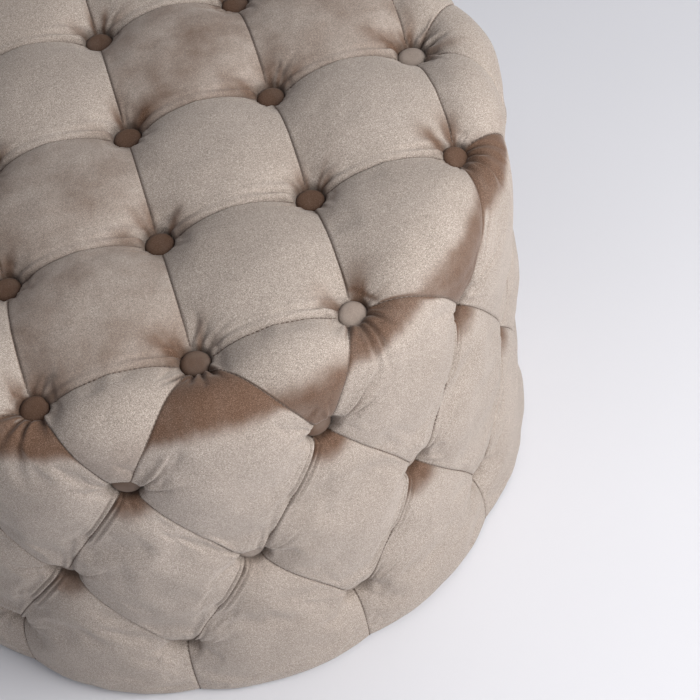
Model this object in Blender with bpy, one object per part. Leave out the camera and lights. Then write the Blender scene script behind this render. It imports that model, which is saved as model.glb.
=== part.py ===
"""A round deep-buttoned pouf: a tufted velvet cover, buttons tied with twine, foam, and a timber drum on glides."""

import math

import bmesh
import bpy
from mathutils import Matrix, Vector

# The upholstered body, before its pillows swell
BODY_RADIUS = 0.297
BODY_HEIGHT = 0.397
RIM_RADIUS = 0.040
PILLOW_SWELL = 0.005
HEM_HEIGHT = 0.004

# The buttons: a square grid on the seat and three staggered rows round the side
GRID_REACH = 2
COLUMNS = 12
SEAT_MARGIN = 0.059
SEAT_TUFT_DEPTH = 0.028
SIDE_TUFT_DEPTH = 0.018
FLOOR_RIM_RADIUS = 0.024
EDGE_TILT = math.radians(4)
CORNER_TILT = math.radians(25)
BUTTON_RADIUS = 0.0117
BUTTON_NECK = 0.0014
BUTTON_SEAT = 0.0082
BUTTON_CROWN = 0.0046
TWINE_RADIUS = 0.0015
KNOT_RADIUS = 0.0040

# The velvet's wadding, the foam and the drum that they lie on
SEAT_PADDING = 0.037
SIDE_PADDING = 0.025
SEAT_FOAM = 0.0294
SIDE_FOAM = 0.0094
BOARD_THICKNESS = 0.015
WALL_THICKNESS = 0.004
WALL_JOINT = 0.0012
RING_WIDTH = 0.080
RING_THICKNESS = 0.015
POST_COUNT = 4
POST_WIDTH = 0.045
POST_DEPTH = 0.030
POST_SETBACK = 0.0006

# What closes the bottom
FLANGE_THICKNESS = 0.003
FLANGE_WIDTH = 0.052
CLOTH_THICKNESS = 0.001
CLOTH_LAP = 0.017
GLIDE_COUNT = 4
GLIDE_RADIUS = 0.014
GLIDE_CHAMFER = 0.001
NAIL_RADIUS = 0.0016
NAIL_LENGTH = 0.013

# The countersunk wood screws
SCREW_LENGTH = 0.045
SCREW_RADIUS = 0.0022
SCREW_HEAD_RADIUS = 0.0048
SCREW_HEAD_HEIGHT = 0.0030

# Fits
GAP = 0.0003
TWINE_CLEARANCE = 0.0006
STITCH_HOLE_RADIUS = 0.0034
CUT_OVERRUN = 0.002

# Facets
RING_SEGMENTS = 48
WALL_SEGMENTS = 72
BUTTON_SEGMENTS = 8
HOLE_SEGMENTS = 6
CAVITY_FLATS = 24
SEAM_STEP_SHARE = 0.02

# How high the side's rows of buttons stand, as shares of the body's height
ROW_HEIGHT_SHARES = (0.776, 0.474, 0.189)

# How far a seam lies between the crown of its pillows and the floor of the tufts, along its length
SEAM_SINK_SHARES = {0.0: 1.0, 0.27: 0.47, 0.73: 0.47, 1.0: 1.0}
HEM_SIDE_SINK_SHARES = {0.0: 1.0, 0.5: 0.4, 1.0: 0.1}
HEM_SINK_SHARE = 0.1

# The outline of a covered button from its widest part up, as shares of its radius and crown
CAP_SHARES = ((1.0, 0.0), (0.93, 0.42), (0.58, 0.86))
TIP_SHARE = 0.2

# Places that follow from the sizes above
HOLE_RADIUS = TWINE_RADIUS + TWINE_CLEARANCE
TUFT_PITCH = (BODY_RADIUS - SEAT_MARGIN) / GRID_REACH
COLUMN_ANGLE = 2 * math.pi / COLUMNS
FLOOR_RADIUS = BODY_RADIUS - SIDE_TUFT_DEPTH
FLOOR_HEIGHT = BODY_HEIGHT - SEAT_TUFT_DEPTH
ROW_HEIGHTS = tuple(BODY_HEIGHT * share for share in ROW_HEIGHT_SHARES)
SEAT_FLAT = BODY_RADIUS - RIM_RADIUS
RIM_LENGTH = RIM_RADIUS * math.pi / 2
WALL_TOP = BODY_HEIGHT - RIM_RADIUS
FLOOR_WALL_TOP = FLOOR_HEIGHT - FLOOR_RIM_RADIUS
HEM_REACH = SEAT_FLAT + RIM_LENGTH + WALL_TOP - HEM_HEIGHT
CAVITY_RADIUS = BODY_RADIUS - SIDE_PADDING
CAVITY_TOP = BODY_HEIGHT - SEAT_PADDING
FOAM_RADIUS = CAVITY_RADIUS - GAP
DRUM_RADIUS = FOAM_RADIUS - SIDE_FOAM - GAP
WALL_INSIDE = DRUM_RADIUS - WALL_THICKNESS
BOARD_TOP = CAVITY_TOP - GAP - SEAT_FOAM - GAP
BOARD_BOTTOM = BOARD_TOP - BOARD_THICKNESS
FLANGE_TOP = HEM_HEIGHT + FLANGE_THICKNESS
RING_BOTTOM = FLANGE_TOP + GAP
RING_TOP = RING_BOTTOM + RING_THICKNESS
CLOTH_TOP = HEM_HEIGHT - GAP
CLOTH_BOTTOM = CLOTH_TOP - CLOTH_THICKNESS
FLANGE_INSIDE = BODY_RADIUS - FLANGE_WIDTH
POST_FACE = math.sqrt((WALL_INSIDE - POST_SETBACK) ** 2 - (POST_WIDTH / 2) ** 2)
POST_CENTRE = POST_FACE - POST_DEPTH / 2
RUN_RADIUS = WALL_INSIDE * math.cos(math.pi / WALL_SEGMENTS) - GAP - TWINE_RADIUS


def clear_scene():
    """Removes every object that the scene starts with."""
    for item in list(bpy.data.objects):
        bpy.data.objects.remove(item, do_unlink=True)


def material(name, colour, roughness, metallic=0.0, sheen=0.0):
    """A Principled material."""
    made = bpy.data.materials.new(name)
    made.use_nodes = True
    shader = made.node_tree.nodes["Principled BSDF"]
    shader.inputs["Base Color"].default_value = (*colour, 1.0)
    shader.inputs["Roughness"].default_value = roughness
    shader.inputs["Metallic"].default_value = metallic
    shader.inputs["Sheen Weight"].default_value = sheen
    made.diffuse_color = (*colour, 1.0)
    return made


def make_object(name, mesh, finish=None):
    """An object in the scene. Without a finish it is a helper that no render shows."""
    made = bpy.data.objects.new(name, mesh)
    bpy.context.scene.collection.objects.link(made)
    if finish is None:
        made.hide_render = True
        made.display_type = "WIRE"
    elif not mesh.materials:
        mesh.materials.append(finish)
    return made


def mesh_from(name, shape, smooth_angle=math.radians(40)):
    """A mesh from a bmesh, faces outwards, with its round faces shaded smooth."""
    bmesh.ops.recalc_face_normals(shape, faces=shape.faces)
    mesh = bpy.data.meshes.new(name)
    shape.to_mesh(mesh)
    shape.free()
    mesh.shade_smooth()
    mesh.set_sharp_from_angle(angle=smooth_angle)
    return mesh


def ring_of(shape, radius, height, segments, turn=0.0):
    """The points of a level ring about the Z axis."""
    angles = [turn + 2 * math.pi * k / segments for k in range(segments)]
    return [shape.verts.new((radius * math.cos(a), radius * math.sin(a), height)) for a in angles]


def join_rings(shape, first, second):
    """Faces between two rings. A ring of one point makes a cone."""
    count = max(len(first), len(second))
    for k in range(count):
        after = (k + 1) % count
        corners = [first[k % len(first)], first[after % len(first)]]
        corners += [second[after % len(second)], second[k % len(second)]]
        shape.faces.new(list(dict.fromkeys(corners)))


def add_turned(shape, outline, segments, place=None):
    """Adds a closed shape turned about Z from an outline of (radius, height) that starts and ends on the axis."""
    rings = []
    for radius, height in outline:
        if radius:
            rings.append(ring_of(shape, radius, height, segments))
        else:
            rings.append([shape.verts.new((0.0, 0.0, height))])
    for first, second in zip(rings, rings[1:]):
        join_rings(shape, first, second)
    if place is not None:
        bmesh.ops.transform(shape, matrix=place, verts=[v for ring in rings for v in ring])


def turned_mesh(name, outline, segments):
    """A mesh turned about Z from an outline of (radius, height)."""
    shape = bmesh.new()
    add_turned(shape, outline, segments)
    return mesh_from(name, shape)


def tube_mesh(name, outline, segments, opening=0.0):
    """A ring turned about Z from a closed outline of (radius, height), with an opening left in it where one is given."""
    shape = bmesh.new()
    if opening:
        turns = [opening / 2 + (2 * math.pi - opening) * k / segments for k in range(segments + 1)]
    else:
        turns = [2 * math.pi * (k + 1 / 2) / segments for k in range(segments)]
    sections = [
        [shape.verts.new((radius * math.cos(turn), radius * math.sin(turn), height)) for radius, height in outline]
        for turn in turns
    ]
    pairs = list(zip(sections, sections[1:]))
    if opening:
        shape.faces.new(sections[0])
        shape.faces.new(sections[-1])
    else:
        pairs.append((sections[-1], sections[0]))
    for first, second in pairs:
        join_rings(shape, first, second)
    return mesh_from(name, shape)


def cut(target, *cutters):
    """Cuts the shapes of helpers out of a piece."""
    modifier = target.modifiers.new("cut", "BOOLEAN")
    modifier.operation = "DIFFERENCE"
    modifier.solver = "EXACT"
    if len(cutters) == 1:
        modifier.object = cutters[0]
        return
    helpers = bpy.data.collections.new(target.name + "_cutters")
    for cutter in cutters:
        helpers.objects.link(cutter)
    modifier.operand_type = "COLLECTION"
    modifier.collection = helpers


def side_place(angle, height, radius):
    """The place of a piece on the side whose own Z axis points outwards."""
    turn = Matrix.Rotation(angle, 4, "Z") @ Matrix.Rotation(math.pi / 2, 4, "Y")
    centre = Vector((radius * math.cos(angle), radius * math.sin(angle), height))
    return Matrix.Translation(centre) @ turn


class Tuft:
    """A button's place on the unrolled body: its reach from the seat's centre over the rim, and its angle."""

    def __init__(self, reach, angle, on_seat):
        self.reach = reach
        self.angle = angle
        self.on_seat = on_seat

    def flat(self):
        """Its place on the unrolled body."""
        return Vector((self.reach * math.cos(self.angle), self.reach * math.sin(self.angle)))


def reach_of_row(height):
    """How far down the unrolled body a button of the side lies, from the height of its tuft's floor."""
    share = (height - HEM_HEIGHT) / (FLOOR_WALL_TOP - HEM_HEIGHT)
    return HEM_REACH - share * (WALL_TOP - HEM_HEIGHT)


def body_point(flat, sink, swell=0.0):
    """A point of the cover from its place on the unrolled body. Sink runs from 0 on the body to 1 on the tufts' floor."""
    reach, angle = flat.length, math.atan2(flat.y, flat.x)
    turn = min(max((reach - SEAT_FLAT) / RIM_RADIUS, 0.0), math.pi / 2)
    flat_share = min(reach / SEAT_FLAT, 1.0)
    drop_share = max(reach - SEAT_FLAT - RIM_LENGTH, 0.0) / (WALL_TOP - HEM_HEIGHT)
    outer_radius = SEAT_FLAT * flat_share + RIM_RADIUS * math.sin(turn)
    outer_height = WALL_TOP + RIM_RADIUS * math.cos(turn) - drop_share * (WALL_TOP - HEM_HEIGHT)
    floor_flat = FLOOR_RADIUS - FLOOR_RIM_RADIUS
    floor_radius = floor_flat * flat_share + FLOOR_RIM_RADIUS * math.sin(turn)
    floor_height = FLOOR_WALL_TOP + FLOOR_RIM_RADIUS * math.cos(turn)
    floor_height -= drop_share * (FLOOR_WALL_TOP - HEM_HEIGHT)
    radius = outer_radius + sink * (floor_radius - outer_radius) + swell * math.sin(turn)
    height = outer_height + sink * (floor_height - outer_height) + swell * math.cos(turn)
    return Vector((radius * math.cos(angle), radius * math.sin(angle), height))


def seat_tufts():
    """The seat's buttons by their place on the grid. The four corners of the square have none."""
    found = {}
    for column in range(-GRID_REACH, GRID_REACH + 1):
        for row in range(-GRID_REACH, GRID_REACH + 1):
            if abs(column) == GRID_REACH and abs(row) == GRID_REACH:
                continue
            reach = TUFT_PITCH * math.hypot(column, row)
            found[column, row] = Tuft(reach, math.atan2(row, column), True)
    return found


def side_tufts():
    """The side's three rows of buttons. The middle row is staggered by half a column."""
    rows = []
    for level, height in enumerate(ROW_HEIGHTS):
        offset = 0.0 if level == 1 else COLUMN_ANGLE / 2
        angles = [offset + COLUMN_ANGLE * k for k in range(COLUMNS)]
        rows.append([Tuft(reach_of_row(height), angle, False) for angle in angles])
    return rows


def rim_tufts(seat):
    """The seat's outermost buttons in order round the rim."""
    outer = [tuft for (column, row), tuft in seat.items() if max(abs(column), abs(row)) == GRID_REACH]
    return sorted(outer, key=lambda tuft: tuft.angle % (2 * math.pi))


def seam(first, second):
    """The line of a seam between two buttons on the unrolled body, as a function of the share along it."""
    if first.on_seat and second.on_seat:
        return lambda share: first.flat().lerp(second.flat(), share)
    turn = (second.angle - first.angle + math.pi) % (2 * math.pi) - math.pi

    def point(share):
        """The point on the seam at this share of its length."""
        reach = first.reach + share * (second.reach - first.reach)
        angle = first.angle + share * turn
        return Vector((reach * math.cos(angle), reach * math.sin(angle)))

    return point


def puff(share):
    """How full a pillow is at this share of its width: nothing on its seams, full in its middle."""
    return math.sqrt(max(0.0, 4 * share * (1 - share)))


def backwards(line):
    """The same line from its other end."""
    return lambda share: line(1 - share)


def hole_edge(shape, line):
    """The point where a seam ends at the stitch hole at its start."""
    length = (body_point(line(SEAM_STEP_SHARE), 1.0) - body_point(line(0.0), 1.0)).length
    return shape.verts.new(body_point(line(SEAM_STEP_SHARE * STITCH_HOLE_RADIUS / length), 1.0))


def hole_corner(shape, first, second):
    """The point of a stitch hole halfway between two seams that start at it."""
    centre = body_point(first(0.0), 1.0)
    ways = [(body_point(line(SEAM_STEP_SHARE), 1.0) - centre).normalized() for line in (first, second)]
    return shape.verts.new(centre + (ways[0] + ways[1]).normalized() * STITCH_HOLE_RADIUS)


def pillow_grid(edges, sinks):
    """The points of a pillow by column and row. Its edges and their sinks run along its head, foot, left and right."""
    head, foot, left, right = edges
    head_sinks, foot_sinks, side_sinks = sinks
    open_foot = foot_sinks[0.0] < 1.0
    points = {}
    for row, down in enumerate(sorted(side_sinks)):
        for column, along in enumerate(sorted(head_sinks)):
            place = head(along) * (1 - down) + foot(along) * down + left(down) * (1 - along) + right(down) * along
            place -= (head(0.0) * (1 - along) + head(1.0) * along) * (1 - down)
            place -= (foot(0.0) * (1 - along) + foot(1.0) * along) * down
            sink = head_sinks[along] * (1 - down) + foot_sinks[along] * down + side_sinks[down]
            sink -= head_sinks[0.0] * (1 - down) + foot_sinks[0.0] * down
            fill = puff(along) * puff(down / 2 if open_foot else down)
            points[column, row] = body_point(place, sink * (1 - fill), PILLOW_SWELL * fill)
    return points


def add_cells(shape, points, at_buttons):
    """Adds a pillow's faces. Where a corner is a button, the face ends at the two seams that meet there."""
    verts = {}
    for column, row in sorted(points):
        if (column + 1, row + 1) not in points:
            continue
        corners = []
        for place in ((column, row), (column + 1, row), (column + 1, row + 1), (column, row + 1)):
            if place in at_buttons:
                corners += at_buttons[place](column, row)
                continue
            if place not in verts:
                verts[place] = shape.verts.new(points[place])
            corners.append(verts[place])
        shape.faces.new(list(dict.fromkeys(corners)))
    return verts


def add_plain_pillow(shape, corners):
    """Adds a pillow between four buttons, or three where the last is given twice."""
    one, two, three, four = corners
    pointed = three is four
    head, foot, left, right = seam(one, two), seam(four, three), seam(one, four), seam(two, three)
    foot_sinks = dict.fromkeys(SEAM_SINK_SHARES, 1.0) if pointed else SEAM_SINK_SHARES
    points = pillow_grid((head, foot, left, right), (SEAM_SINK_SHARES, foot_sinks, SEAM_SINK_SHARES))
    last = len(SEAM_SINK_SHARES) - 1
    first_cut = [hole_edge(shape, left), hole_edge(shape, head)]
    second_cut = [hole_edge(shape, backwards(head)), hole_edge(shape, right)]
    at_buttons = {(0, 0): lambda *cell: first_cut, (last, 0): lambda *cell: second_cut}
    left_end, right_end = hole_edge(shape, backwards(left)), hole_edge(shape, backwards(right))
    if pointed:
        for column in range(last + 1):
            end = left_end if column < last / 2 else right_end
            at_buttons[column, last] = lambda *cell, end=end: [end]
    else:
        third_cut = [right_end, hole_edge(shape, backwards(foot))]
        fourth_cut = [hole_edge(shape, foot), left_end]
        at_buttons[last, last] = lambda *cell: third_cut
        at_buttons[0, last] = lambda *cell: fourth_cut
    add_cells(shape, points, at_buttons)


def add_hem_pillow(shape, top, left, right):
    """Adds a pillow of the bottom row, which runs from three buttons down to the hem with a straight seam each side."""
    half = COLUMN_ANGLE / 2
    hem_left = Tuft(HEM_REACH, top.angle - half, False)
    hem_right = Tuft(HEM_REACH, top.angle + half, False)
    first, second, hem = seam(left, top), seam(top, right), seam(hem_left, hem_right)
    left_side, right_side = seam(left, hem_left), seam(right, hem_right)

    def head(share):
        """The pillow's pointed upper edge."""
        return first(share * 2) if share <= 1 / 2 else second(share * 2 - 1)

    head_sinks = {share / 2: sink for share, sink in SEAM_SINK_SHARES.items()}
    head_sinks.update({(share + 1) / 2: sink for share, sink in SEAM_SINK_SHARES.items()})
    foot_sinks = dict.fromkeys(head_sinks, HEM_SINK_SHARE)
    points = pillow_grid((head, hem, left_side, right_side), (head_sinks, foot_sinks, HEM_SIDE_SINK_SHARES))
    last = len(head_sinks) - 1
    left_cut = [hole_edge(shape, left_side), hole_corner(shape, left_side, first), hole_edge(shape, first)]
    right = backwards(second)
    right_cut = [hole_edge(shape, right), hole_corner(shape, right, right_side), hole_edge(shape, right_side)]
    top_cut = [hole_edge(shape, backwards(first)), hole_edge(shape, second)]
    at_buttons = {
        (0, 0): lambda *cell: left_cut,
        (last, 0): lambda *cell: right_cut,
        (last // 2, 0): lambda column, row: [top_cut[0] if column < last // 2 else top_cut[1]],
    }
    verts = add_cells(shape, points, at_buttons)
    shape.faces.new((*top_cut, verts[last // 2, 1]))


def add_cover_pillows(shape, seat, rows):
    """Adds every pillow of the cover, from the middle of the seat to the hem."""
    upper, middle, lower = rows
    rim = rim_tufts(seat)
    for column in range(-GRID_REACH, GRID_REACH):
        for row in range(-GRID_REACH, GRID_REACH):
            places = [(column, row), (column + 1, row), (column + 1, row + 1), (column, row + 1)]
            corners = []
            for place in places:
                quarter = math.atan2(place[1], place[0]) % (2 * math.pi)
                corners.append(seat[place] if place in seat else upper[int(quarter / COLUMN_ANGLE)])
            add_plain_pillow(shape, corners)
    for k, tuft in enumerate(rim):
        if k % 3 != 1:
            add_plain_pillow(shape, [rim[(k + 1) % COLUMNS], tuft, upper[k], upper[k]])
        add_plain_pillow(shape, [tuft, upper[k - 1], middle[k], upper[k]])
        add_plain_pillow(shape, [upper[k], middle[k], lower[k], middle[(k + 1) % COLUMNS]])
        add_hem_pillow(shape, middle[k], lower[k - 1], lower[k])


def twine_axes(seat, rows):
    """For each button: its place on the tufts' floor, its twine's direction, and the cavity's face that it enters."""
    found = []
    for (column, row), tuft in seat.items():
        axis = seat_place(tuft, seat_tilt(column, row)).to_3x3() @ Vector((0.0, 0.0, 1.0))
        found.append((body_point(tuft.flat(), 1.0), axis, Vector((0.0, 0.0, 1.0)), CAVITY_TOP))
    for height, level in zip(ROW_HEIGHTS, rows):
        for tuft in level:
            outwards = Vector((math.cos(tuft.angle), math.sin(tuft.angle), 0.0))
            centre = outwards * FLOOR_RADIUS + Vector((0.0, 0.0, height))
            found.append((centre, outwards, outwards, CAVITY_RADIUS))
    return found


def around(verts, centre, axis):
    """The points of a ring in order round an axis."""
    across = axis.orthogonal().normalized()
    beside = axis.cross(across)
    return sorted(verts, key=lambda v: math.atan2((v.co - centre).dot(beside), (v.co - centre).dot(across)))


def add_twine_hole(shape, rim_verts, axis, normal, distance):
    """Takes a hole in the cover from its rim in a tuft's floor down to the cavity. Returns the edges of its inner end."""
    inner = [v.co - axis * ((v.co.dot(normal) - distance) / axis.dot(normal)) for v in rim_verts]
    inner = [shape.verts.new(place) for place in inner]
    join_rings(shape, rim_verts, inner)
    return ring_edges(shape, inner)


def ring_edges(shape, ring):
    """The edges that run round a ring of points."""
    edges = []
    for first, second in zip(ring, ring[1:] + ring[:1]):
        edges.append(shape.edges.get((first, second)) or shape.edges.new((first, second)))
    return edges


def cover_mesh(seat, rows):
    """The tufted cover: pillows outside, a plain cavity inside, holes for the twines and a flange under the base."""
    shape = bmesh.new()
    add_cover_pillows(shape, seat, rows)
    bmesh.ops.remove_doubles(shape, verts=shape.verts, dist=GAP / 3)
    open_verts = [vert for vert in shape.verts if vert.is_boundary]
    hem = around([v for v in open_verts if v.co.z < HEM_HEIGHT + GAP], Vector(), Vector((0.0, 0.0, 1.0)))
    turn = math.pi / CAVITY_FLATS
    corner_radius = CAVITY_RADIUS / math.cos(turn)
    lip = ring_of(shape, FLANGE_INSIDE, HEM_HEIGHT, CAVITY_FLATS, turn)
    lip_top = ring_of(shape, FLANGE_INSIDE, FLANGE_TOP, CAVITY_FLATS, turn)
    foot = ring_of(shape, corner_radius, FLANGE_TOP, CAVITY_FLATS, turn)
    head = ring_of(shape, corner_radius, CAVITY_TOP, CAVITY_FLATS, turn)
    join_rings(shape, lip, lip_top)
    join_rings(shape, lip_top, foot)
    flats = {k: [foot[k - 1], foot[k], head[k], head[k - 1]] for k in range(CAVITY_FLATS)}
    fills = {k: ring_edges(shape, flat) for k, flat in flats.items()}
    fills["top"] = ring_edges(shape, head)
    for centre, axis, normal, distance in twine_axes(seat, rows):
        rim_verts = [v for v in open_verts if (v.co - centre).length < STITCH_HOLE_RADIUS * 2]
        edges = add_twine_hole(shape, around(rim_verts, centre, axis), axis, normal, distance)
        flat = round(math.atan2(normal.y, normal.x) / (2 * turn)) % CAVITY_FLATS
        fills["top" if normal.z else flat] += edges
    for edges in [ring_edges(shape, hem) + ring_edges(shape, lip), *fills.values()]:
        bmesh.ops.triangle_fill(shape, edges=edges, use_beauty=True)
    bmesh.ops.triangulate(shape, faces=shape.faces)
    return mesh_from("tufted_cover", shape, math.radians(60))


def cap_outline(start):
    """The outline of a covered button, whose underside lies on the pillows, after the points of its twine."""
    outline = [*start, (TWINE_RADIUS, BUTTON_NECK)]
    for radius_share, crown_share in CAP_SHARES:
        outline.append((BUTTON_RADIUS * radius_share, BUTTON_SEAT + BUTTON_CROWN * crown_share))
    outline.append((0.0, BUTTON_SEAT + BUTTON_CROWN))
    return outline


def tied_button_mesh(name, knot_depth):
    """A covered button on its twine, which ends in a knot this far below the tuft's floor."""
    start = (
        (0.0, -knot_depth - KNOT_RADIUS),
        (KNOT_RADIUS, -knot_depth),
        (TWINE_RADIUS, -knot_depth + KNOT_RADIUS),
    )
    return turned_mesh(name, cap_outline(start), BUTTON_SEGMENTS)


def seat_tilt(column, row):
    """How far a seat button leans outwards."""
    if max(abs(column), abs(row)) < GRID_REACH:
        return 0.0
    return CORNER_TILT if column and row else EDGE_TILT


def seat_place(tuft, tilt):
    """The place of a seat button whose own Z axis is its twine."""
    lean = Matrix.Rotation(tuft.angle, 4, "Z") @ Matrix.Rotation(tilt, 4, "Y")
    return Matrix.Translation(body_point(tuft.flat(), 1.0)) @ lean


def knot_depth_of(tuft, tilt):
    """How far along its twine a seat button's knot lies, just under the board."""
    floor = body_point(tuft.flat(), 1.0).z
    return (floor - BOARD_BOTTOM + GAP) / math.cos(tilt) + KNOT_RADIUS * (1 + math.tan(tilt))


def build_seat_buttons(seat, finish):
    """The seat's buttons, and the helper that makes way for their twines."""
    holes = bmesh.new()
    meshes = {}
    for number, ((column, row), tuft) in enumerate(sorted(seat.items()), start=1):
        tilt = seat_tilt(column, row)
        depth = knot_depth_of(tuft, tilt)
        kind = round(tilt, 3)
        if kind not in meshes:
            meshes[kind] = tied_button_mesh("tied_button", depth)
        place = seat_place(tuft, tilt)
        button = make_object(f"seat_button_{number:02d}", meshes[kind], finish)
        button.matrix_world = place
        outline = ((0.0, -depth), (HOLE_RADIUS, -depth), (HOLE_RADIUS, CUT_OVERRUN), (0.0, CUT_OVERRUN))
        add_turned(holes, outline, HOLE_SEGMENTS, place)
    return make_object("seat_twine_holes", mesh_from("seat_twine_holes", holes))


def add_run(shape, start, end):
    """Adds a straight run of twine between two points."""
    line = end - start
    outline = ((0.0, 0.0), (TWINE_RADIUS, 0.0), (TWINE_RADIUS, line.length), (0.0, line.length))
    place = Matrix.Translation(start) @ line.to_track_quat("Z", "Y").to_matrix().to_4x4()
    add_turned(shape, outline, HOLE_SEGMENTS, place)


def button_string_mesh():
    """Three side buttons tied in with one length of twine, which runs from one to the next behind the drum's wall."""
    offsets = (0.0, COLUMN_ANGLE / 2, 0.0)
    twine_end = FLOOR_RADIUS - RUN_RADIUS + TWINE_RADIUS
    outline = cap_outline(((0.0, -twine_end), (TWINE_RADIUS, -twine_end)))
    parts, turns = [], []
    for offset, height in zip(offsets, ROW_HEIGHTS):
        shape = bmesh.new()
        add_turned(shape, outline, BUTTON_SEGMENTS, side_place(offset, height, FLOOR_RADIUS))
        parts.append(mesh_from("side_button", shape))
        turns.append(Vector((RUN_RADIUS * math.cos(offset), RUN_RADIUS * math.sin(offset), height)))
    for start, end in zip(turns, turns[1:]):
        shape = bmesh.new()
        add_run(shape, start, end)
        parts.append(mesh_from("twine_run", shape))
    whole = make_object("string_helper", parts[0])
    helpers = [make_object("string_part", part) for part in parts[1:]]
    for helper in helpers:
        modifier = whole.modifiers.new("join", "BOOLEAN")
        modifier.operation = "UNION"
        modifier.solver = "EXACT"
        modifier.object = helper
    bpy.context.view_layer.update()
    graph = bpy.context.evaluated_depsgraph_get()
    mesh = bpy.data.meshes.new_from_object(whole.evaluated_get(graph))
    for helper in (whole, *helpers):
        bpy.data.objects.remove(helper, do_unlink=True)
    return mesh


def build_button_strings(rows, finish):
    """The side's buttons, in strings of three, and the helper that makes way for their twines."""
    mesh = button_string_mesh()
    for k in range(COLUMNS):
        string = make_object(f"side_button_string_{k + 1:02d}", mesh, finish)
        string.rotation_euler.z = COLUMN_ANGLE * (k + 1 / 2)
    holes = bmesh.new()
    length = FLOOR_RADIUS - WALL_INSIDE + CUT_OVERRUN
    outline = ((0.0, -length), (HOLE_RADIUS, -length), (HOLE_RADIUS, CUT_OVERRUN), (0.0, CUT_OVERRUN))
    for row, height in zip(rows, ROW_HEIGHTS):
        for tuft in row:
            add_turned(holes, outline, HOLE_SEGMENTS, side_place(tuft.angle, height, FLOOR_RADIUS))
    return make_object("side_twine_holes", mesh_from("side_twine_holes", holes))


def build_foam(finish, seat_holes, side_holes):
    """The seat's foam disc and the foam wrapped round the drum."""
    bottom = BOARD_TOP + GAP
    outline = ((0.0, bottom), (FOAM_RADIUS, bottom), (FOAM_RADIUS, CAVITY_TOP - GAP), (0.0, CAVITY_TOP - GAP))
    seat_foam = make_object("seat_foam", turned_mesh("seat_foam", outline, RING_SEGMENTS), finish)
    cut(seat_foam, seat_holes)
    inside, foot = DRUM_RADIUS + GAP, RING_TOP + GAP
    outline = ((inside, foot), (FOAM_RADIUS, foot), (FOAM_RADIUS, BOARD_TOP), (inside, BOARD_TOP))
    side_foam = make_object("side_foam", tube_mesh("side_foam", outline, WALL_SEGMENTS), finish)
    cut(side_foam, side_holes)


def post_angles():
    """The angles of the posts, clear of the twines."""
    return [COLUMN_ANGLE / 4 + 2 * math.pi * k / POST_COUNT for k in range(POST_COUNT)]


def glide_places():
    """The centres of the glides, under the middle of the base ring and between the posts."""
    radius = FLANGE_INSIDE - GLIDE_RADIUS - GLIDE_CHAMFER
    angles = [angle + math.pi / GLIDE_COUNT for angle in post_angles()]
    return [Vector((radius * math.cos(a), radius * math.sin(a), 0.0)) for a in angles]


def screw_outline(clearance=0.0):
    """A countersunk screw that points down from its head's face, or the hole that takes it."""
    head, shank = SCREW_HEAD_RADIUS + clearance, SCREW_RADIUS + clearance
    face, end = clearance * CUT_OVERRUN / GAP, SCREW_LENGTH + clearance
    outline = [(0.0, face), (head, face)]
    if face:
        outline.append((head, 0.0))
    neck = SCREW_LENGTH - SCREW_HEAD_HEIGHT
    outline += [(shank, -SCREW_HEAD_HEIGHT), (shank, -neck), (shank * TIP_SHARE, -end), (0.0, -end)]
    return outline[::-1]


def screw_places():
    """The places of the screws that hold each post, at its top and at its foot."""
    places = {}
    for number, angle in enumerate(post_angles(), start=1):
        x, y = POST_CENTRE * math.cos(angle), POST_CENTRE * math.sin(angle)
        places[f"board_screw_{number}"] = Matrix.Translation((x, y, BOARD_TOP))
        upwards = Matrix.Rotation(math.pi, 4, "X")
        places[f"base_screw_{number}"] = Matrix.Translation((x, y, RING_BOTTOM)) @ upwards
    return places


def build_screws(finish):
    """The screws, and the helper that makes way for them."""
    mesh = turned_mesh("screw", screw_outline(), BUTTON_SEGMENTS)
    holes = bmesh.new()
    for name, place in screw_places().items():
        make_object(name, mesh, finish).matrix_world = place
        add_turned(holes, screw_outline(GAP), BUTTON_SEGMENTS, place)
    return make_object("screw_holes", mesh_from("screw_holes", holes))


def build_glides(finish):
    """The glides with their nails, and the helper that makes way for the nails."""
    disc = CLOTH_BOTTOM - GAP
    nail_top = disc + NAIL_LENGTH
    outline = (
        (0.0, 0.0), (GLIDE_RADIUS - GLIDE_CHAMFER, 0.0), (GLIDE_RADIUS, GLIDE_CHAMFER), (GLIDE_RADIUS, disc),
        (NAIL_RADIUS, disc), (NAIL_RADIUS, nail_top - NAIL_RADIUS), (0.0, nail_top),
    )
    mesh = turned_mesh("glide", outline, BUTTON_SEGMENTS * 2)
    holes = bmesh.new()
    hole = NAIL_RADIUS + GAP
    low, high = CLOTH_BOTTOM - CUT_OVERRUN, nail_top + GAP
    for number, place in enumerate(glide_places(), start=1):
        make_object(f"glide_{number}", mesh, finish).location = place
        outline = ((0.0, low), (hole, low), (hole, high), (0.0, high))
        add_turned(holes, outline, BUTTON_SEGMENTS * 2, Matrix.Translation(place))
    return make_object("nail_holes", mesh_from("nail_holes", holes))


def post_mesh():
    """A square-cut timber post standing on the base ring, its outer face towards +X."""
    foot, head = RING_TOP + GAP, BOARD_BOTTOM - GAP
    shape = bmesh.new()
    bmesh.ops.create_cube(shape, size=1.0)
    size = Matrix.Diagonal((POST_DEPTH, POST_WIDTH, head - foot, 1.0))
    middle = Matrix.Translation((POST_CENTRE, 0.0, (foot + head) / 2))
    bmesh.ops.transform(shape, matrix=middle @ size, verts=shape.verts)
    return mesh_from("post", shape)


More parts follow.
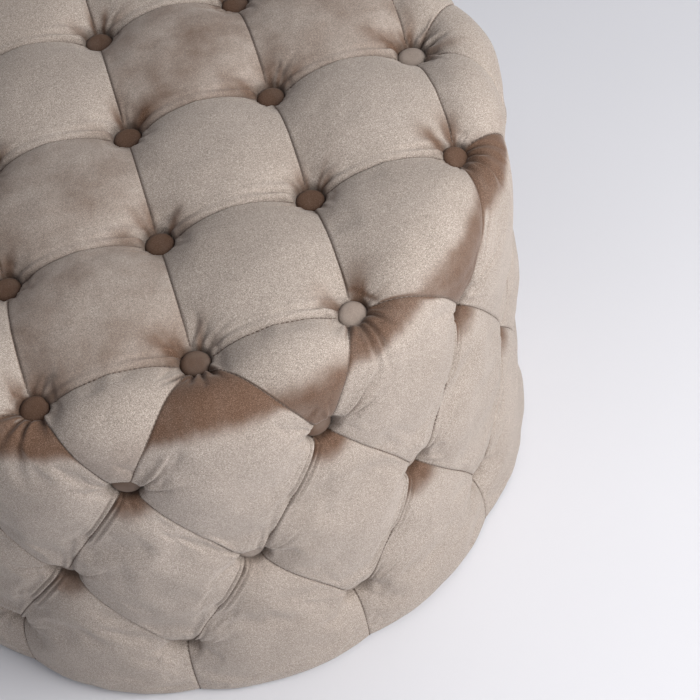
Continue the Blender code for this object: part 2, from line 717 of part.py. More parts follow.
def build_drum(finishes, seat_holes, side_holes, screw_holes, nail_holes):
    """The timber drum: a board, a wall bent round it, four posts and a base ring."""
    outline = ((0.0, BOARD_BOTTOM), (DRUM_RADIUS, BOARD_BOTTOM), (DRUM_RADIUS, BOARD_TOP), (0.0, BOARD_TOP))
    board = make_object("seat_board", turned_mesh("seat_board", outline, RING_SEGMENTS), finishes["plywood"])
    cut(board, seat_holes, screw_holes)
    foot, head = RING_TOP + GAP, BOARD_BOTTOM - GAP
    outline = ((WALL_INSIDE, foot), (DRUM_RADIUS, foot), (DRUM_RADIUS, head), (WALL_INSIDE, head))
    joint = WALL_JOINT / DRUM_RADIUS
    wall = make_object("drum_wall", tube_mesh("drum_wall", outline, WALL_SEGMENTS, joint), finishes["hardboard"])
    wall.rotation_euler.z = post_angles()[1]
    cut(wall, side_holes)
    inside = FOAM_RADIUS - RING_WIDTH
    outline = ((inside, RING_BOTTOM), (FOAM_RADIUS, RING_BOTTOM), (FOAM_RADIUS, RING_TOP), (inside, RING_TOP))
    ring = make_object("base_ring", tube_mesh("base_ring", outline, RING_SEGMENTS), finishes["plywood"])
    cut(ring, screw_holes, nail_holes)
    mesh = post_mesh()
    for number, angle in enumerate(post_angles(), start=1):
        post = make_object(f"post_{number}", mesh, finishes["timber"])
        post.rotation_euler.z = angle
        cut(post, screw_holes)


def build_dust_cloth(finish, nail_holes):
    """The cloth that closes the bottom and hides the cover's flange."""
    radius = FLANGE_INSIDE + CLOTH_LAP
    outline = ((0.0, CLOTH_BOTTOM), (radius, CLOTH_BOTTOM), (radius, CLOTH_TOP), (0.0, CLOTH_TOP))
    cloth = make_object("dust_cloth", turned_mesh("dust_cloth", outline, RING_SEGMENTS), finish)
    cut(cloth, nail_holes)


def main():
    """Builds the pouf."""
    clear_scene()
    finishes = {
        "velvet": material("velvet", (0.50, 0.41, 0.34), 0.75, sheen=0.6),
        "button_velvet": material("button_velvet", (0.30, 0.22, 0.17), 0.8, sheen=0.5),
        "foam": material("foam", (0.83, 0.78, 0.62), 0.9),
        "plywood": material("plywood", (0.62, 0.45, 0.28), 0.6),
        "hardboard": material("hardboard", (0.34, 0.22, 0.13), 0.7),
        "timber": material("timber", (0.70, 0.53, 0.34), 0.6),
        "steel": material("steel", (0.60, 0.58, 0.50), 0.35, metallic=1.0),
        "plastic": material("plastic", (0.04, 0.04, 0.04), 0.45),
        "cloth": material("cloth", (0.03, 0.03, 0.03), 0.95),
    }
    seat, rows = seat_tufts(), side_tufts()
    seat_holes = build_seat_buttons(seat, finishes["button_velvet"])
    side_holes = build_button_strings(rows, finishes["button_velvet"])
    make_object("tufted_cover", cover_mesh(seat, rows), finishes["velvet"])
    build_foam(finishes["foam"], seat_holes, side_holes)
    screw_holes = build_screws(finishes["steel"])
    nail_holes = build_glides(finishes["plastic"])
    build_drum(finishes, seat_holes, side_holes, screw_holes, nail_holes)
    build_dust_cloth(finishes["cloth"], nail_holes)


main()
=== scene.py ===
"""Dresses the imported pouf: tufted velvet, covered buttons, seams, dust cloth and the frame's finishes."""

from __future__ import annotations

import logging
import math
import random
from dataclasses import dataclass, field
from enum import Enum
from typing import Any, Iterable

import bmesh
import bpy
import numpy as np
from bpy.types import GeometryNodeTree, Material, Mesh, Node, NodeSocket, NodeTree, Object
from mathutils import Matrix, Vector, noise


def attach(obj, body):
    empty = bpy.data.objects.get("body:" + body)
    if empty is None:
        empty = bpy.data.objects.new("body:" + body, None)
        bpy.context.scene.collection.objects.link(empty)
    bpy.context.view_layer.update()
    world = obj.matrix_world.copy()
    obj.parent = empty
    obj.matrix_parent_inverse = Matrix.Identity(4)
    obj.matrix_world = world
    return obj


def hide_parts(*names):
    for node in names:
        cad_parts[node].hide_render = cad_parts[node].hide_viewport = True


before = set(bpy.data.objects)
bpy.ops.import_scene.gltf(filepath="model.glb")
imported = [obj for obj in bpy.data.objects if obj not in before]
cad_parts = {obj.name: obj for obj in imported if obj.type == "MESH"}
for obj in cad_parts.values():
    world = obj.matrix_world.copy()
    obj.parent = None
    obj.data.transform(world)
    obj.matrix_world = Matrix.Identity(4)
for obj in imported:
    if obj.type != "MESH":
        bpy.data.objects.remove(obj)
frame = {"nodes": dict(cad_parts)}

Array = np.ndarray
Pair = tuple[float, float]
Triple = tuple[float, float, float]
Colour = Triple
Faces = list[tuple[int, ...]]

LOG = logging.getLogger("pouf")
SEED = 29
RIM_BOW = 0.011
TINY = 1e-6
WELD = 2e-6
CLOTH = {
    "quality": 6,
    "mass": 0.25,
    "tension_stiffness": 22.0,
    "compression_stiffness": 14.0,
    "shear_stiffness": 5.0,
    "bending_stiffness": 0.35,
    "pin_stiffness": 1.6,
    "shrink_min": -0.016,
    "use_pressure": True,
    "uniform_pressure_force": 1.3,
}


class Row(Enum):
    """Which row of buttons a place belongs to."""

    SEAT = "seat"
    UPPER = "upper"
    MIDDLE = "middle"
    LOWER = "lower"
    HEM = "hem"


def add_node(
    tree: NodeTree,
    kind: str,
    settings: dict[str, Any] | None = None,
    inputs: dict[Any, Any] | None = None,
) -> Node:
    """Adds a node.

    Args:
        tree: The tree that gets it.
        kind: The node's type.
        settings: Its settings, which are set first.
        inputs: Values or output sockets for its inputs, by name or number.

    Returns:
        The node.
    """
    made = tree.nodes.new(kind)
    for key, value in (settings or {}).items():
        setattr(made, key, value)
    for key, value in (inputs or {}).items():
        if isinstance(value, NodeSocket):
            tree.links.new(value, made.inputs[key])
        else:
            made.inputs[key].default_value = value
    return made


class Value:
    """A node socket whose arithmetic adds Math nodes to its graph."""

    def __init__(self, graph: Graph, socket: NodeSocket) -> None:
        """Wraps an output socket of a graph."""
        self.graph = graph
        self.socket = socket

    def _math(self, operation: str, *values: Any, clamp: bool = False) -> Value:
        """Adds a Math node with its inputs in order. Clamping holds its result between 0 and 1."""
        inputs = dict(enumerate(values))
        return self.graph.node("ShaderNodeMath", {"operation": operation, "use_clamp": clamp}, inputs)

    def __add__(self, other: Any) -> Value:
        """Adds another value."""
        return self._math("ADD", self, other)

    def __radd__(self, other: Any) -> Value:
        """Adds this value to a number."""
        return self._math("ADD", other, self)

    def __sub__(self, other: Any) -> Value:
        """Takes away another value."""
        return self._math("SUBTRACT", self, other)

    def __rsub__(self, other: Any) -> Value:
        """Takes this value from a number."""
        return self._math("SUBTRACT", other, self)

    def __mul__(self, other: Any) -> Value:
        """Multiplies by another value."""
        return self._math("MULTIPLY", self, other)

    def clamped(self) -> Value:
        """The value held between 0 and 1."""
        return self._math("ADD", self, 0.0, clamp=True)

    def between(self, low: float, high: float) -> Value:
        """A smoothed step, from 0 at the low level to 1 at the high one."""
        settings = {"interpolation_type": "SMOOTHSTEP"}
        inputs = {"Value": self, "From Min": low, "From Max": high, "To Min": 0.0, "To Max": 1.0}
        return self.graph.node("ShaderNodeMapRange", settings, inputs)


class Graph:
    """A material's node tree, built from Python expressions."""

    def __init__(self, name: str) -> None:
        """Makes a material with an empty tree.

        Args:
            name: The material's name.
        """
        self.material = bpy.data.materials.new(name)
        self.material.use_nodes = True
        self.tree = self.material.node_tree
        self.tree.nodes.clear()

    def node(
        self,
        kind: str,
        settings: dict[str, Any] | None = None,
        inputs: dict[Any, Any] | None = None,
        output: Any = 0,
    ) -> Value:
        """Adds a node.

        Args:
            kind: The node's type.
            settings: Its settings, which are set first.
            inputs: Values or links for its sockets, by name or number.
            output: The output that is wanted, by name or number.

        Returns:
            The wanted output.
        """
        given = inputs or {}
        plain = {key: value.socket if isinstance(value, Value) else value for key, value in given.items()}
        return Value(self, add_node(self.tree, kind, settings, plain).outputs[output])

    def place(self) -> Value:
        """The point on the piece, in object coordinates."""
        return self.node("ShaderNodeTexCoord", output="Object")

    def stretched(self, scale: Triple, turn: Triple = (0.0, 0.0, 0.0)) -> Value:
        """Object coordinates scaled along the axes and turned about them."""
        return self.node("ShaderNodeMapping", {}, {"Vector": self.place(), "Scale": scale, "Rotation": turn})

    def noise(
        self, scale: float, detail: float = 2.0, roughness: float = 0.5, place: Value | None = None
    ) -> Value:
        """Noise from 0 to 1. Its scale is per metre, and without a place it is read in object coordinates."""
        inputs = {"Vector": place or self.place(), "Scale": scale, "Detail": detail, "Roughness": roughness}
        return self.node("ShaderNodeTexNoise", {}, inputs)

    def upwards(self, vector: Value) -> Value:
        """How far a vector points up."""
        return self.node("ShaderNodeSeparateXYZ", {}, {"Vector": vector}, output="Z")

    def attribute(self, name: str) -> Value:
        """A number that the piece's mesh carries."""
        return self.node("ShaderNodeAttribute", {"attribute_name": name}, output="Fac")

    def mix(self, first: Any, second: Any, share: Value | float) -> Value:
        """Mixes two colours.

        Args:
            first: The colour at share 0.
            second: The colour at share 1.
            share: How much of the second there is.

        Returns:
            The mixed colour.
        """
        sockets = {6: first, 7: second, 0: share}
        inputs = {key: (*value, 1.0) if isinstance(value, tuple) else value for key, value in sockets.items()}
        return self.node("ShaderNodeMix", {"data_type": "RGBA"}, inputs, output=2)

    def bump(self, height: Value, distance: float, strength: float) -> Value:
        """A bumped normal. The distance is the height in metres that a height of 1 stands for."""
        return self.node("ShaderNodeBump", {}, {"Height": height, "Distance": distance, "Strength": strength})

    def finish(self, **inputs: Any) -> Material:
        """Ends the tree in a Principled shader.

        Args:
            inputs: Its sockets, with spaces as underscores.

        Returns:
            The material.
        """
        sockets = {}
        for key, value in inputs.items():
            sockets[key.replace("_", " ")] = (*value, 1.0) if isinstance(value, tuple) else value
        shader = self.node("ShaderNodeBsdfPrincipled", {}, sockets)
        self.node_output(shader)
        return self.material

    def node_output(self, shader: Value) -> None:
        """Links a shader to the material's output."""
        out = self.tree.nodes.new("ShaderNodeOutputMaterial")
        self.tree.links.new(shader.socket, out.inputs["Surface"])


@dataclass(frozen=True)
class VelvetFinish:
    """Short-pile velvet: pale, with painted shade in warm brown where the pile leans towards you and darkens
    it.
    """

    name: str = "champagne_velvet"
    pale: Colour = (0.575, 0.487, 0.425)
    worn: Colour = (0.48, 0.40, 0.342)
    # brown: the colour of the painted shade where velvet is seen along its leaning pile.
    brown: Colour = (0.162, 0.078, 0.041)
    # crease: the colour of the painted shade in seams, folds and the rings round the buttons.
    crease: Colour = (0.048, 0.030, 0.021)
    between_hairs: Colour = (0.02, 0.014, 0.01)
    hair_tip_glint: Colour = (0.90, 0.84, 0.78)
    sheen_tint: Colour = (0.96, 0.90, 0.84)
    grain_scale: float = 1850.0
    fleck_scale: float = 740.0
    brushed_scale: float = 26.0
    broad_scale: float = 8.0
    stroke_scale: float = 120.0
    contrast: float = 0.74
    tip_share: float = 0.4
    crease_share: float = 0.80
    sheen: float = 0.22
    pile_height: float = 0.0006

    def material(self) -> Material:
        """Builds the velvet.

        Returns:
            The material.
        """
        graph = Graph(self.name)
        grain = graph.noise(self.grain_scale, 3.0, 0.72)
        fleck = graph.noise(self.fleck_scale, 2.0, 0.65)
        # Random tone of the velvet, which also varies its painted shade.
        brushing_and_shade = graph.noise(self.brushed_scale, 3.0, 0.6)
        broad = graph.noise(self.broad_scale, 2.0, 0.5)
        along = graph.stretched((1.0, 0.20, 0.30), (0.0, 0.0, 0.35))
        strokes = graph.noise(self.stroke_scale, 3.0, 0.6, along)
        # Random streaks that vary the painted shade.
        shade_smudge = (brushing_and_shade - 0.5) * 0.55 + (strokes - 0.5) * 0.35 + (fleck - 0.5) * 0.30
        # Painted shade: the mesh's nap number browns each point by how its slope meets the leaning pile.
        nap = graph.attribute("nap")
        border = nap * (1.0 - nap) * 4.0
        streaks = border * ((grain - 0.5) * 1.1 + (brushing_and_shade - 0.5) * 0.7)
        nap_shading = nap * (1.0 + shade_smudge * 0.8) + shade_smudge * 0.12 + streaks
        ground = graph.mix(self.pale, self.worn, (brushing_and_shade * 0.6 + broad * 0.7).between(0.35, 0.95))
        # Painted shade: the pale ground turns brown where the pile's shade falls.
        velvet = graph.mix(ground, self.brown, nap_shading.between(0.04, 1.02) * 0.97)
        speck = (grain * 0.8 + fleck * 0.2).between(0.28, 0.72)
        velvet = graph.mix(velvet, graph.mix(velvet, self.between_hairs, self.contrast), 1.0 - speck)
        # Painted highlight: light grain specks where hair tips catch the light, fewer where the pile's
        # painted shade browns it.
        glint = speck.between(0.45, 1.0) * (1.0 - nap_shading.between(0.0, 1.2) * 0.75)
        velvet = graph.mix(velvet, graph.mix(velvet, self.hair_tip_glint, self.contrast * self.tip_share), glint)
        # Painted shade in the seams, folds and pits, from the mesh's crease number.
        velvet = graph.mix(velvet, self.crease, graph.attribute("crease") * self.crease_share)
        height = grain * 0.6 + strokes * 0.25 + fleck * 0.15
        return graph.finish(
            Base_Color=velvet,
            Roughness=(0.74 + (brushing_and_shade - 0.5) * 0.16).clamped(),
            Specular_IOR_Level=0.22,
            Sheen_Weight=self.sheen,
            Sheen_Roughness=0.42,
            Sheen_Tint=self.sheen_tint,
            Normal=graph.bump(height, self.pile_height, 0.42),
        )


@dataclass(frozen=True)
class ShadedButtonVelvetFinish(VelvetFinish):
    """The same velvet drawn tight over the buttons, which makes it flatter, with painted shade that makes it
    darker, as the buttons sit in their pits.
    """

    name: str = "button_velvet_painted_shade"
    pale: Colour = (0.44, 0.37, 0.32)
    worn: Colour = (0.36, 0.30, 0.26)
    brown: Colour = (0.112, 0.055, 0.030)
    crease: Colour = (0.020, 0.013, 0.010)
    contrast: float = 0.42
    sheen: float = 0.08


@dataclass(frozen=True)
class ThreadFinish:
    """Twisted polyester thread."""

    name: str = "sewing_thread"
    colour: Colour = (0.16, 0.115, 0.09)
    shade: Colour = (0.07, 0.048, 0.036)
    twist_scale: float = 1900.0

    def material(self) -> Material:
        """Builds the thread.

        Returns:
            The material.
        """
        graph = Graph(self.name)
        twist = graph.noise(self.twist_scale, 1.0, 0.5, graph.stretched((1.0, 1.6, 0.7), (0.4, 0.2, 0.6)))
        colour = graph.mix(self.colour, self.shade, twist.between(0.35, 0.7))
        return graph.finish(Base_Color=colour, Roughness=0.62, Normal=graph.bump(twist, 0.0002, 0.5))


@dataclass(frozen=True)
class TwineFinish:
    """Waxed tufting twine."""

    name: str = "waxed_twine"
    colour: Colour = (0.62, 0.56, 0.45)
    shade: Colour = (0.38, 0.32, 0.24)
    ply_scale: float = 900.0

    def material(self) -> Material:
        """Builds the twine.

        Returns:
            The material.
        """
        graph = Graph(self.name)
        ply = graph.noise(self.ply_scale, 2.0, 0.6, graph.stretched((1.0, 1.0, 0.45), (0.5, 0.3, 0.0)))
        colour = graph.mix(self.colour, self.shade, ply.between(0.35, 0.68))
        return graph.finish(Base_Color=colour, Roughness=0.55, Normal=graph.bump(ply, 0.0004, 0.7))


@dataclass(frozen=True)
class FoamFinish:
    """Open-cell foam with pores."""

    name: str = "open_cell_foam"
    fresh: Colour = (0.86, 0.79, 0.60)
    yellowed: Colour = (0.74, 0.62, 0.38)
    pore: Colour = (0.40, 0.32, 0.18)
    pore_scale: float = 620.0
    tone_scale: float = 14.0

    def material(self) -> Material:
        """Builds the foam.

        Returns:
            The material.
        """
        graph = Graph(self.name)
        pores = graph.node("ShaderNodeTexVoronoi", {}, {"Vector": graph.place(), "Scale": self.pore_scale})
        tone = graph.noise(self.tone_scale, 3.0)
        colour = graph.mix(self.fresh, self.yellowed, tone.between(0.35, 0.75))
        colour = graph.mix(self.pore, colour, pores.between(0.05, 0.42))
        return graph.finish(Base_Color=colour, Roughness=0.94, Normal=graph.bump(pores, 0.0009, 0.8))


@dataclass(frozen=True)
class PlyFinish:
    """Birch plywood: long grain on the faces and thin layers on the edges."""

    name: str = "birch_plywood"
    face_tones: tuple[Colour, Colour] = ((0.66, 0.49, 0.31), (0.50, 0.34, 0.19))
    edge_tones: tuple[Colour, Colour] = ((0.62, 0.46, 0.29), (0.34, 0.21, 0.12))
    grain_scale: float = 60.0
    pore_scale: float = 420.0
    layers_per_metre: float = 620.0

    def material(self) -> Material:
        """Builds the plywood.

        Returns:
            The material.
        """
        graph = Graph(self.name)
        grain = graph.noise(self.grain_scale, 4.0, 0.6, graph.stretched((1.0, 0.06, 1.0)))
        pore = graph.noise(self.pore_scale, 2.0, 0.5, graph.stretched((1.0, 0.05, 1.0)))
        face = graph.mix(*self.face_tones, (grain * 0.7 + pore * 0.3).between(0.35, 0.68))
        height = graph.upwards(graph.place())
        turns = height * (self.layers_per_metre * math.pi)
        layer = graph.node("ShaderNodeMath", {"operation": "SINE"}, {0: turns})
        edge = graph.mix(*self.edge_tones, layer.between(-0.3, 0.6))
        upright = graph.upwards(graph.node("ShaderNodeNewGeometry", output="Normal"))
        flat = graph.node("ShaderNodeMath", {"operation": "ABSOLUTE"}, {0: upright}).between(0.5, 0.8)
        colour = graph.mix(edge, face, flat)
        return graph.finish(Base_Color=colour, Roughness=0.62, Normal=graph.bump(pore, 0.0004, 0.4))


@dataclass(frozen=True)
class HardboardFinish:
    """Pressed brown fibre board."""

    name: str = "brown_hardboard"
    light: Colour = (0.36, 0.23, 0.13)
    dark: Colour = (0.22, 0.13, 0.07)
    fibre_scale: float = 700.0
    tone_scale: float = 22.0

    def material(self) -> Material:
        """Builds the hardboard.

        Returns:
            The material.
        """
        graph = Graph(self.name)
        fibre = graph.noise(self.fibre_scale, 3.0, 0.7)
        tone = graph.noise(self.tone_scale, 3.0)
        colour = graph.mix(self.light, self.dark, (fibre * 0.6 + tone * 0.4).between(0.35, 0.65))
        return graph.finish(Base_Color=colour, Roughness=0.58, Normal=graph.bump(fibre, 0.0003, 0.5))


@dataclass(frozen=True)
class TimberFinish:
    """Sawn softwood with growth rings along the post."""

    name: str = "sawn_softwood"
    early_wood: Colour = (0.76, 0.58, 0.38)
    late_wood: Colour = (0.55, 0.36, 0.19)
    ring_scale: float = 95.0
    wander_scale: float = 30.0
    saw_scale: float = 240.0

    def material(self) -> Material:
        """Builds the timber.

        Returns:
            The material.
        """
        graph = Graph(self.name)
        place = graph.stretched((1.0, 1.0, 0.035))
        wander = graph.noise(self.wander_scale, 2.0, 0.5, place)
        bands = {"wave_type": "BANDS", "bands_direction": "DIAGONAL"}
        inputs = {"Vector": place, "Scale": self.ring_scale, "Distortion": 5.0, "Detail": 2.0}
        rings = graph.node("ShaderNodeTexWave", bands, {**inputs, "Detail Scale": 0.8}, output="Fac")
        saw = graph.noise(self.saw_scale, 2.0, 0.6, graph.stretched((0.3, 0.3, 1.0)))
        colour = graph.mix(self.early_wood, self.late_wood, (rings * 0.8 + wander * 0.25).between(0.3, 0.95))
        return graph.finish(Base_Color=colour, Roughness=0.66, Normal=graph.bump(saw, 0.0005, 0.35))


@dataclass(frozen=True)
class ZincFinish:
    """Zinc-plated steel with faint handling marks."""

    name: str = "zinc_plate"
    bright: Colour = (0.66, 0.63, 0.55)
    handled: Colour = (0.50, 0.49, 0.47)
    mark_scale: float = 500.0

    def material(self) -> Material:
        """Builds the plated steel.

        Returns:
            The material.
        """
        graph = Graph(self.name)
        marks = graph.noise(self.mark_scale, 3.0, 0.6)
        colour = graph.mix(self.bright, self.handled, marks.between(0.35, 0.7))
        return graph.finish(Base_Color=colour, Metallic=1.0, Roughness=(0.28 + marks * 0.2).clamped())


@dataclass(frozen=True)
class GlideFinish:
    """Black moulded plastic with scuffs."""

    name: str = "black_glide_plastic"
    plastic: Colour = (0.030, 0.030, 0.032)
    scuffed: Colour = (0.11, 0.105, 0.10)
    scuff_scale: float = 260.0

    def material(self) -> Material:
        """Builds the plastic.

        Returns:
            The material.
        """
        graph = Graph(self.name)
        scuff = graph.noise(self.scuff_scale, 4.0, 0.7, graph.stretched((1.0, 0.3, 1.0), (0.0, 0.0, 0.6)))
        colour = graph.mix(self.plastic, self.scuffed, scuff.between(0.56, 0.78))
        roughness = (0.38 + scuff * 0.25).clamped()
        return graph.finish(Base_Color=colour, Roughness=roughness, Normal=graph.bump(scuff, 0.0002, 0.3))


@dataclass(frozen=True)
class DustClothFinish:
    """Black spun-bonded cloth with its pressed dots."""

    name: str = "spunbond_cloth"
    dark: Colour = (0.014, 0.014, 0.015)
    pale: Colour = (0.045, 0.044, 0.043)
    dots_per_metre: float = 450.0
    fibre_scale: float = 1300.0

    def material(self) -> Material:
        """Builds the cloth.

        Returns:
            The material.
        """
        graph = Graph(self.name)
        inputs = {"Vector": graph.place(), "Scale": self.dots_per_metre}
        dots = graph.node("ShaderNodeTexVoronoi", {"voronoi_dimensions": "2D"}, inputs)
        fibre = graph.noise(self.fibre_scale, 2.0, 0.7)
        colour = graph.mix(self.dark, self.pale, (dots * 0.7 + fibre * 0.4).between(0.2, 0.8))
        relief = graph.bump(dots + fibre * 0.5, 0.0003, 0.5)
        return graph.finish(Base_Color=colour, Roughness=0.9, Normal=relief)


def mesh_of(name: str, verts: Array, faces: Faces, outwards: bool = True) -> Mesh:
    """Makes a smooth mesh.

    Args:
        name: The mesh's name.
        verts: Its points.
        faces: Its faces as point numbers.
        outwards: Whether its faces are turned outwards.

    Returns:
        The mesh.
    """
    mesh = bpy.data.meshes.new(name)
    mesh.from_pydata([tuple(v) for v in verts], [], faces)
    if outwards:
        shape = bmesh.new()
        shape.from_mesh(mesh)
        bmesh.ops.recalc_face_normals(shape, faces=shape.faces)
        shape.to_mesh(mesh)
        shape.free()
    mesh.shade_smooth()
    return mesh


def object_of(mesh: Mesh, *finishes: Material) -> Object:
    """Puts a mesh in the scene.

    Args:
        mesh: The mesh.
        finishes: Its materials.

    Returns:
        The object, which has the mesh's name.
    """
    made = bpy.data.objects.new(mesh.name, mesh)
    bpy.context.scene.collection.objects.link(made)
    for finish in finishes:
        mesh.materials.append(finish)
    return made


def write_numbers(mesh: Mesh, **layers: Array) -> None:
    """Gives every point of a mesh numbers, under the names that its material reads."""
    for name, values in layers.items():
        mesh.attributes.new(name, "FLOAT", "POINT").data.foreach_set("value", values.astype(np.float32))


def turned(outline: Array, segments: int) -> tuple[Array, Faces]:
    """Turns an outline about Z.

    Args:
        outline: Its (radius, height) points, the first and last on the axis.
        segments: How many steps it turns by.

    Returns:
        Its points and faces.
    """
    turns = np.linspace(0.0, 2 * math.pi, segments, endpoint=False)
    rings = outline[1:-1]
    verts = [(0.0, 0.0, outline[0][1])]
    for radius, height in rings:
        verts += [(radius * math.cos(a), radius * math.sin(a), height) for a in turns]
    verts.append((0.0, 0.0, outline[-1][1]))
    last = len(verts) - 1
    faces: Faces = []
    for k in range(segments):
        after = (k + 1) % segments
        faces.append((0, 1 + after, 1 + k))
        for ring in range(len(rings) - 1):
            low, high = 1 + ring * segments, 1 + (ring + 1) * segments
            faces.append((low + k, low + after, high + after, high + k))
        top = 1 + (len(rings) - 1) * segments
        faces.append((top + k, top + after, last))
    return np.array(verts), faces


def smooth_between(value: Array | float, low: Array | float, high: Array | float) -> Array:
    """A smoothed step, from 0 at the low level to 1 at the high one."""
    share = np.clip((np.asarray(value, dtype=float) - low) / (high - low), 0.0, 1.0)
    return share * share * (3.0 - 2.0 * share)


def bell(value: Array, width: Array | float, centre: float = 0.0) -> Array:
    """A bell curve: 1 at its centre and 0.37 a width away."""
    return np.exp(-(((value - centre) / width) ** 2))


def rise(share: Array) -> Array:
    """A quarter circle: steep from 0, level at 1."""
    held = np.clip(share, 0.0, 1.0)
    return np.sqrt(np.clip(1.0 - (1.0 - held) ** 2, 0.0, None))


def between_rounds(pair: Pair, on_side: Array) -> Array:
    """A size that goes from its value on the seat to its value on the side."""
    return pair[0] + (pair[1] - pair[0]) * on_side


def angle_from(angle: Array | float, start: float) -> Array | float:
    """How far an angle lies from another, between minus and plus half a turn."""
    return (angle - start + math.pi) % (2 * math.pi) - math.pi


def weld_keys(flats: Array) -> Array:
    """Whole numbers that places on the unrolled plan share where they are the same place."""
    return np.round(flats / WELD).astype(np.int64)


@dataclass(frozen=True)
class Body:
    """The upholstered body as two nested rounds: its pillows' crown, and the floor that buttons pull to."""

    radius: float = 0.297
    height: float = 0.397
    rim_radius: float = 0.040
    seat_tuft_depth: float = 0.028
    side_tuft_depth: float = 0.018
    floor_rim_radius: float = 0.024
    hem_height: float = 0.004

    @property
    def seat_flat(self) -> float:
        """The radius at which the seat starts to round over."""
        return self.radius - self.rim_radius

    @property
    def wall_top(self) -> float:
        """The height at which the side starts to round over."""
        return self.height - self.rim_radius

    @property
    def wall(self) -> float:
        """How high the straight part of the side is."""
        return self.wall_top - self.hem_height

    @property
    def floor_top(self) -> float:
        """The height at which the tufts' floor starts to round over."""
        return self.height - self.seat_tuft_depth - self.floor_rim_radius

    @property
    def hem_reach(self) -> float:
        """How far the hem lies from the seat's centre over the rim."""
        return self.seat_flat + self.rim_radius * math.pi / 2 + self.wall

    def reach_of(self, height: float) -> float:
        """How far a button of the side at some height lies from the seat's centre over the rim."""
        share = (height - self.hem_height) / (self.floor_top - self.hem_height)
        return self.hem_reach - share * self.wall

    def turn(self, flat: Array) -> Array:
        """How far the body has rounded over at points of its unrolled plan, in radians."""
        reach = np.hypot(flat[..., 0], flat[..., 1])
        return np.clip((reach - self.seat_flat) / self.rim_radius, 0.0, math.pi / 2)

    def outward(self, flat: Array) -> Array:
        """The body's outward direction at points of its unrolled plan."""
        turn, angle = self.turn(flat), np.arctan2(flat[..., 1], flat[..., 0])
        level = np.sin(turn)
        return np.stack([level * np.cos(angle), level * np.sin(angle), np.cos(turn)], axis=-1)

    def points(self, flat: Array, sink: Array | float = 0.0, lift: Array | float = 0.0) -> Array:
        """Points of the cover from its unrolled plan.

        Args:
            flat: Places on the unrolled plan.
            sink: From 0 on the crown to 1 on the tufts' floor.
            lift: How far they stand off along the outward direction.

        Returns:
            The points.
        """
        reach = np.hypot(flat[..., 0], flat[..., 1])
        angle, turn = np.arctan2(flat[..., 1], flat[..., 0]), self.turn(flat)
        share = np.minimum(reach / self.seat_flat, 1.0)
        drop = np.maximum(reach - self.seat_flat - self.rim_radius * math.pi / 2, 0.0) / self.wall
        floor_flat = self.radius - self.side_tuft_depth - self.floor_rim_radius
        radius = self.seat_flat * share + self.rim_radius * np.sin(turn)
        height = self.wall_top + self.rim_radius * np.cos(turn) - drop * self.wall
        deep_radius = floor_flat * share + self.floor_rim_radius * np.sin(turn)
        deep_height = self.floor_top + self.floor_rim_radius * np.cos(turn)
        deep_height = deep_height - drop * (self.floor_top - self.hem_height)
        radius = radius + sink * (deep_radius - radius)
        height = height + sink * (deep_height - height)
        base = np.stack([radius * np.cos(angle), radius * np.sin(angle), height], axis=-1)
        return base + self.outward(flat) * np.asarray(lift)[..., None]


@dataclass(frozen=True)
class Place:
    """A corner of the pillows: a button, or where an upright seam meets the hem."""

    reach: float
    angle: float
    row: Row

    @property
    def flat(self) -> Array:
        """Its place on the unrolled plan."""
        return np.array([self.reach * math.cos(self.angle), self.reach * math.sin(self.angle)])

    @property
    def directions(self) -> tuple[Array, Array]:
        """The directions along the cover here: right and back on the seat, sideways and up on the side."""
        if self.row is Row.SEAT:
            return np.array([1.0, 0.0, 0.0]), np.array([0.0, 1.0, 0.0])
        return np.array([-math.sin(self.angle), math.cos(self.angle), 0.0]), np.array([0.0, 0.0, 1.0])

    @property
    def key(self) -> tuple[int, int, str]:
        """What tells it from the others, in tenths of a millimetre and of a degree."""
        spread = round(math.degrees(self.angle) % 360.0 * 10) % 3600
        return round(self.reach * 1e4), spread if self.reach > TINY else 0, self.row.value


@dataclass(frozen=True)
class Seam:
    """The line between two corners on the unrolled plan."""

    first: Place
    second: Place

    def at(self, shares: Array) -> Array:
        """Places along the seam.

        Args:
            shares: How far along it they are.

        Returns:
            Their places on the unrolled plan.
        """
        shares = np.asarray(shares, dtype=float)[..., None]
        if self.on_seat:
            return self.first.flat * (1 - shares) + self.second.flat * shares
        reach = self.first.reach * (1 - shares) + self.second.reach * shares
        if {self.first.row, self.second.row} == {Row.SEAT, Row.UPPER}:
            reach = reach - RIM_BOW * np.sin(math.pi * shares)
        angle = self.first.angle + angle_from(self.second.angle, self.first.angle) * shares
        return np.concatenate([reach * np.cos(angle), reach * np.sin(angle)], axis=-1)

    def line(self, body: Body) -> Array:
        """Points along the seam on the crown."""
        return body.points(self.at(np.linspace(0.0, 1.0, 25)))

    @property
    def on_seat(self) -> bool:
        """Whether it runs between two buttons of the seat."""
        return self.first.row is Row.SEAT and self.second.row is Row.SEAT

    @property
    def is_hem(self) -> bool:
        """Whether it is the hem's own line and not a seam."""
        return self.first.row is Row.HEM and self.second.row is Row.HEM

    @property
    def key(self) -> frozenset[tuple[int, int, str]]:
        """What tells it from the others, whichever way it runs."""
        return frozenset((self.first.key, self.second.key))

    @property
    def folds(self) -> bool:
        """Whether the velvet is folded over it. Every second direction of seam is."""
        if self.on_seat:
            along = np.abs(self.second.flat - self.first.flat)
            return bool(along[0] > along[1] * 1.5)
        rows = (self.first.row, self.second.row)
        if Row.SEAT in rows or Row.HEM in rows:
            return False
        upper, lower = sorted((self.first, self.second), key=lambda place: place.reach)
        return math.sin(lower.angle - upper.angle) < 0


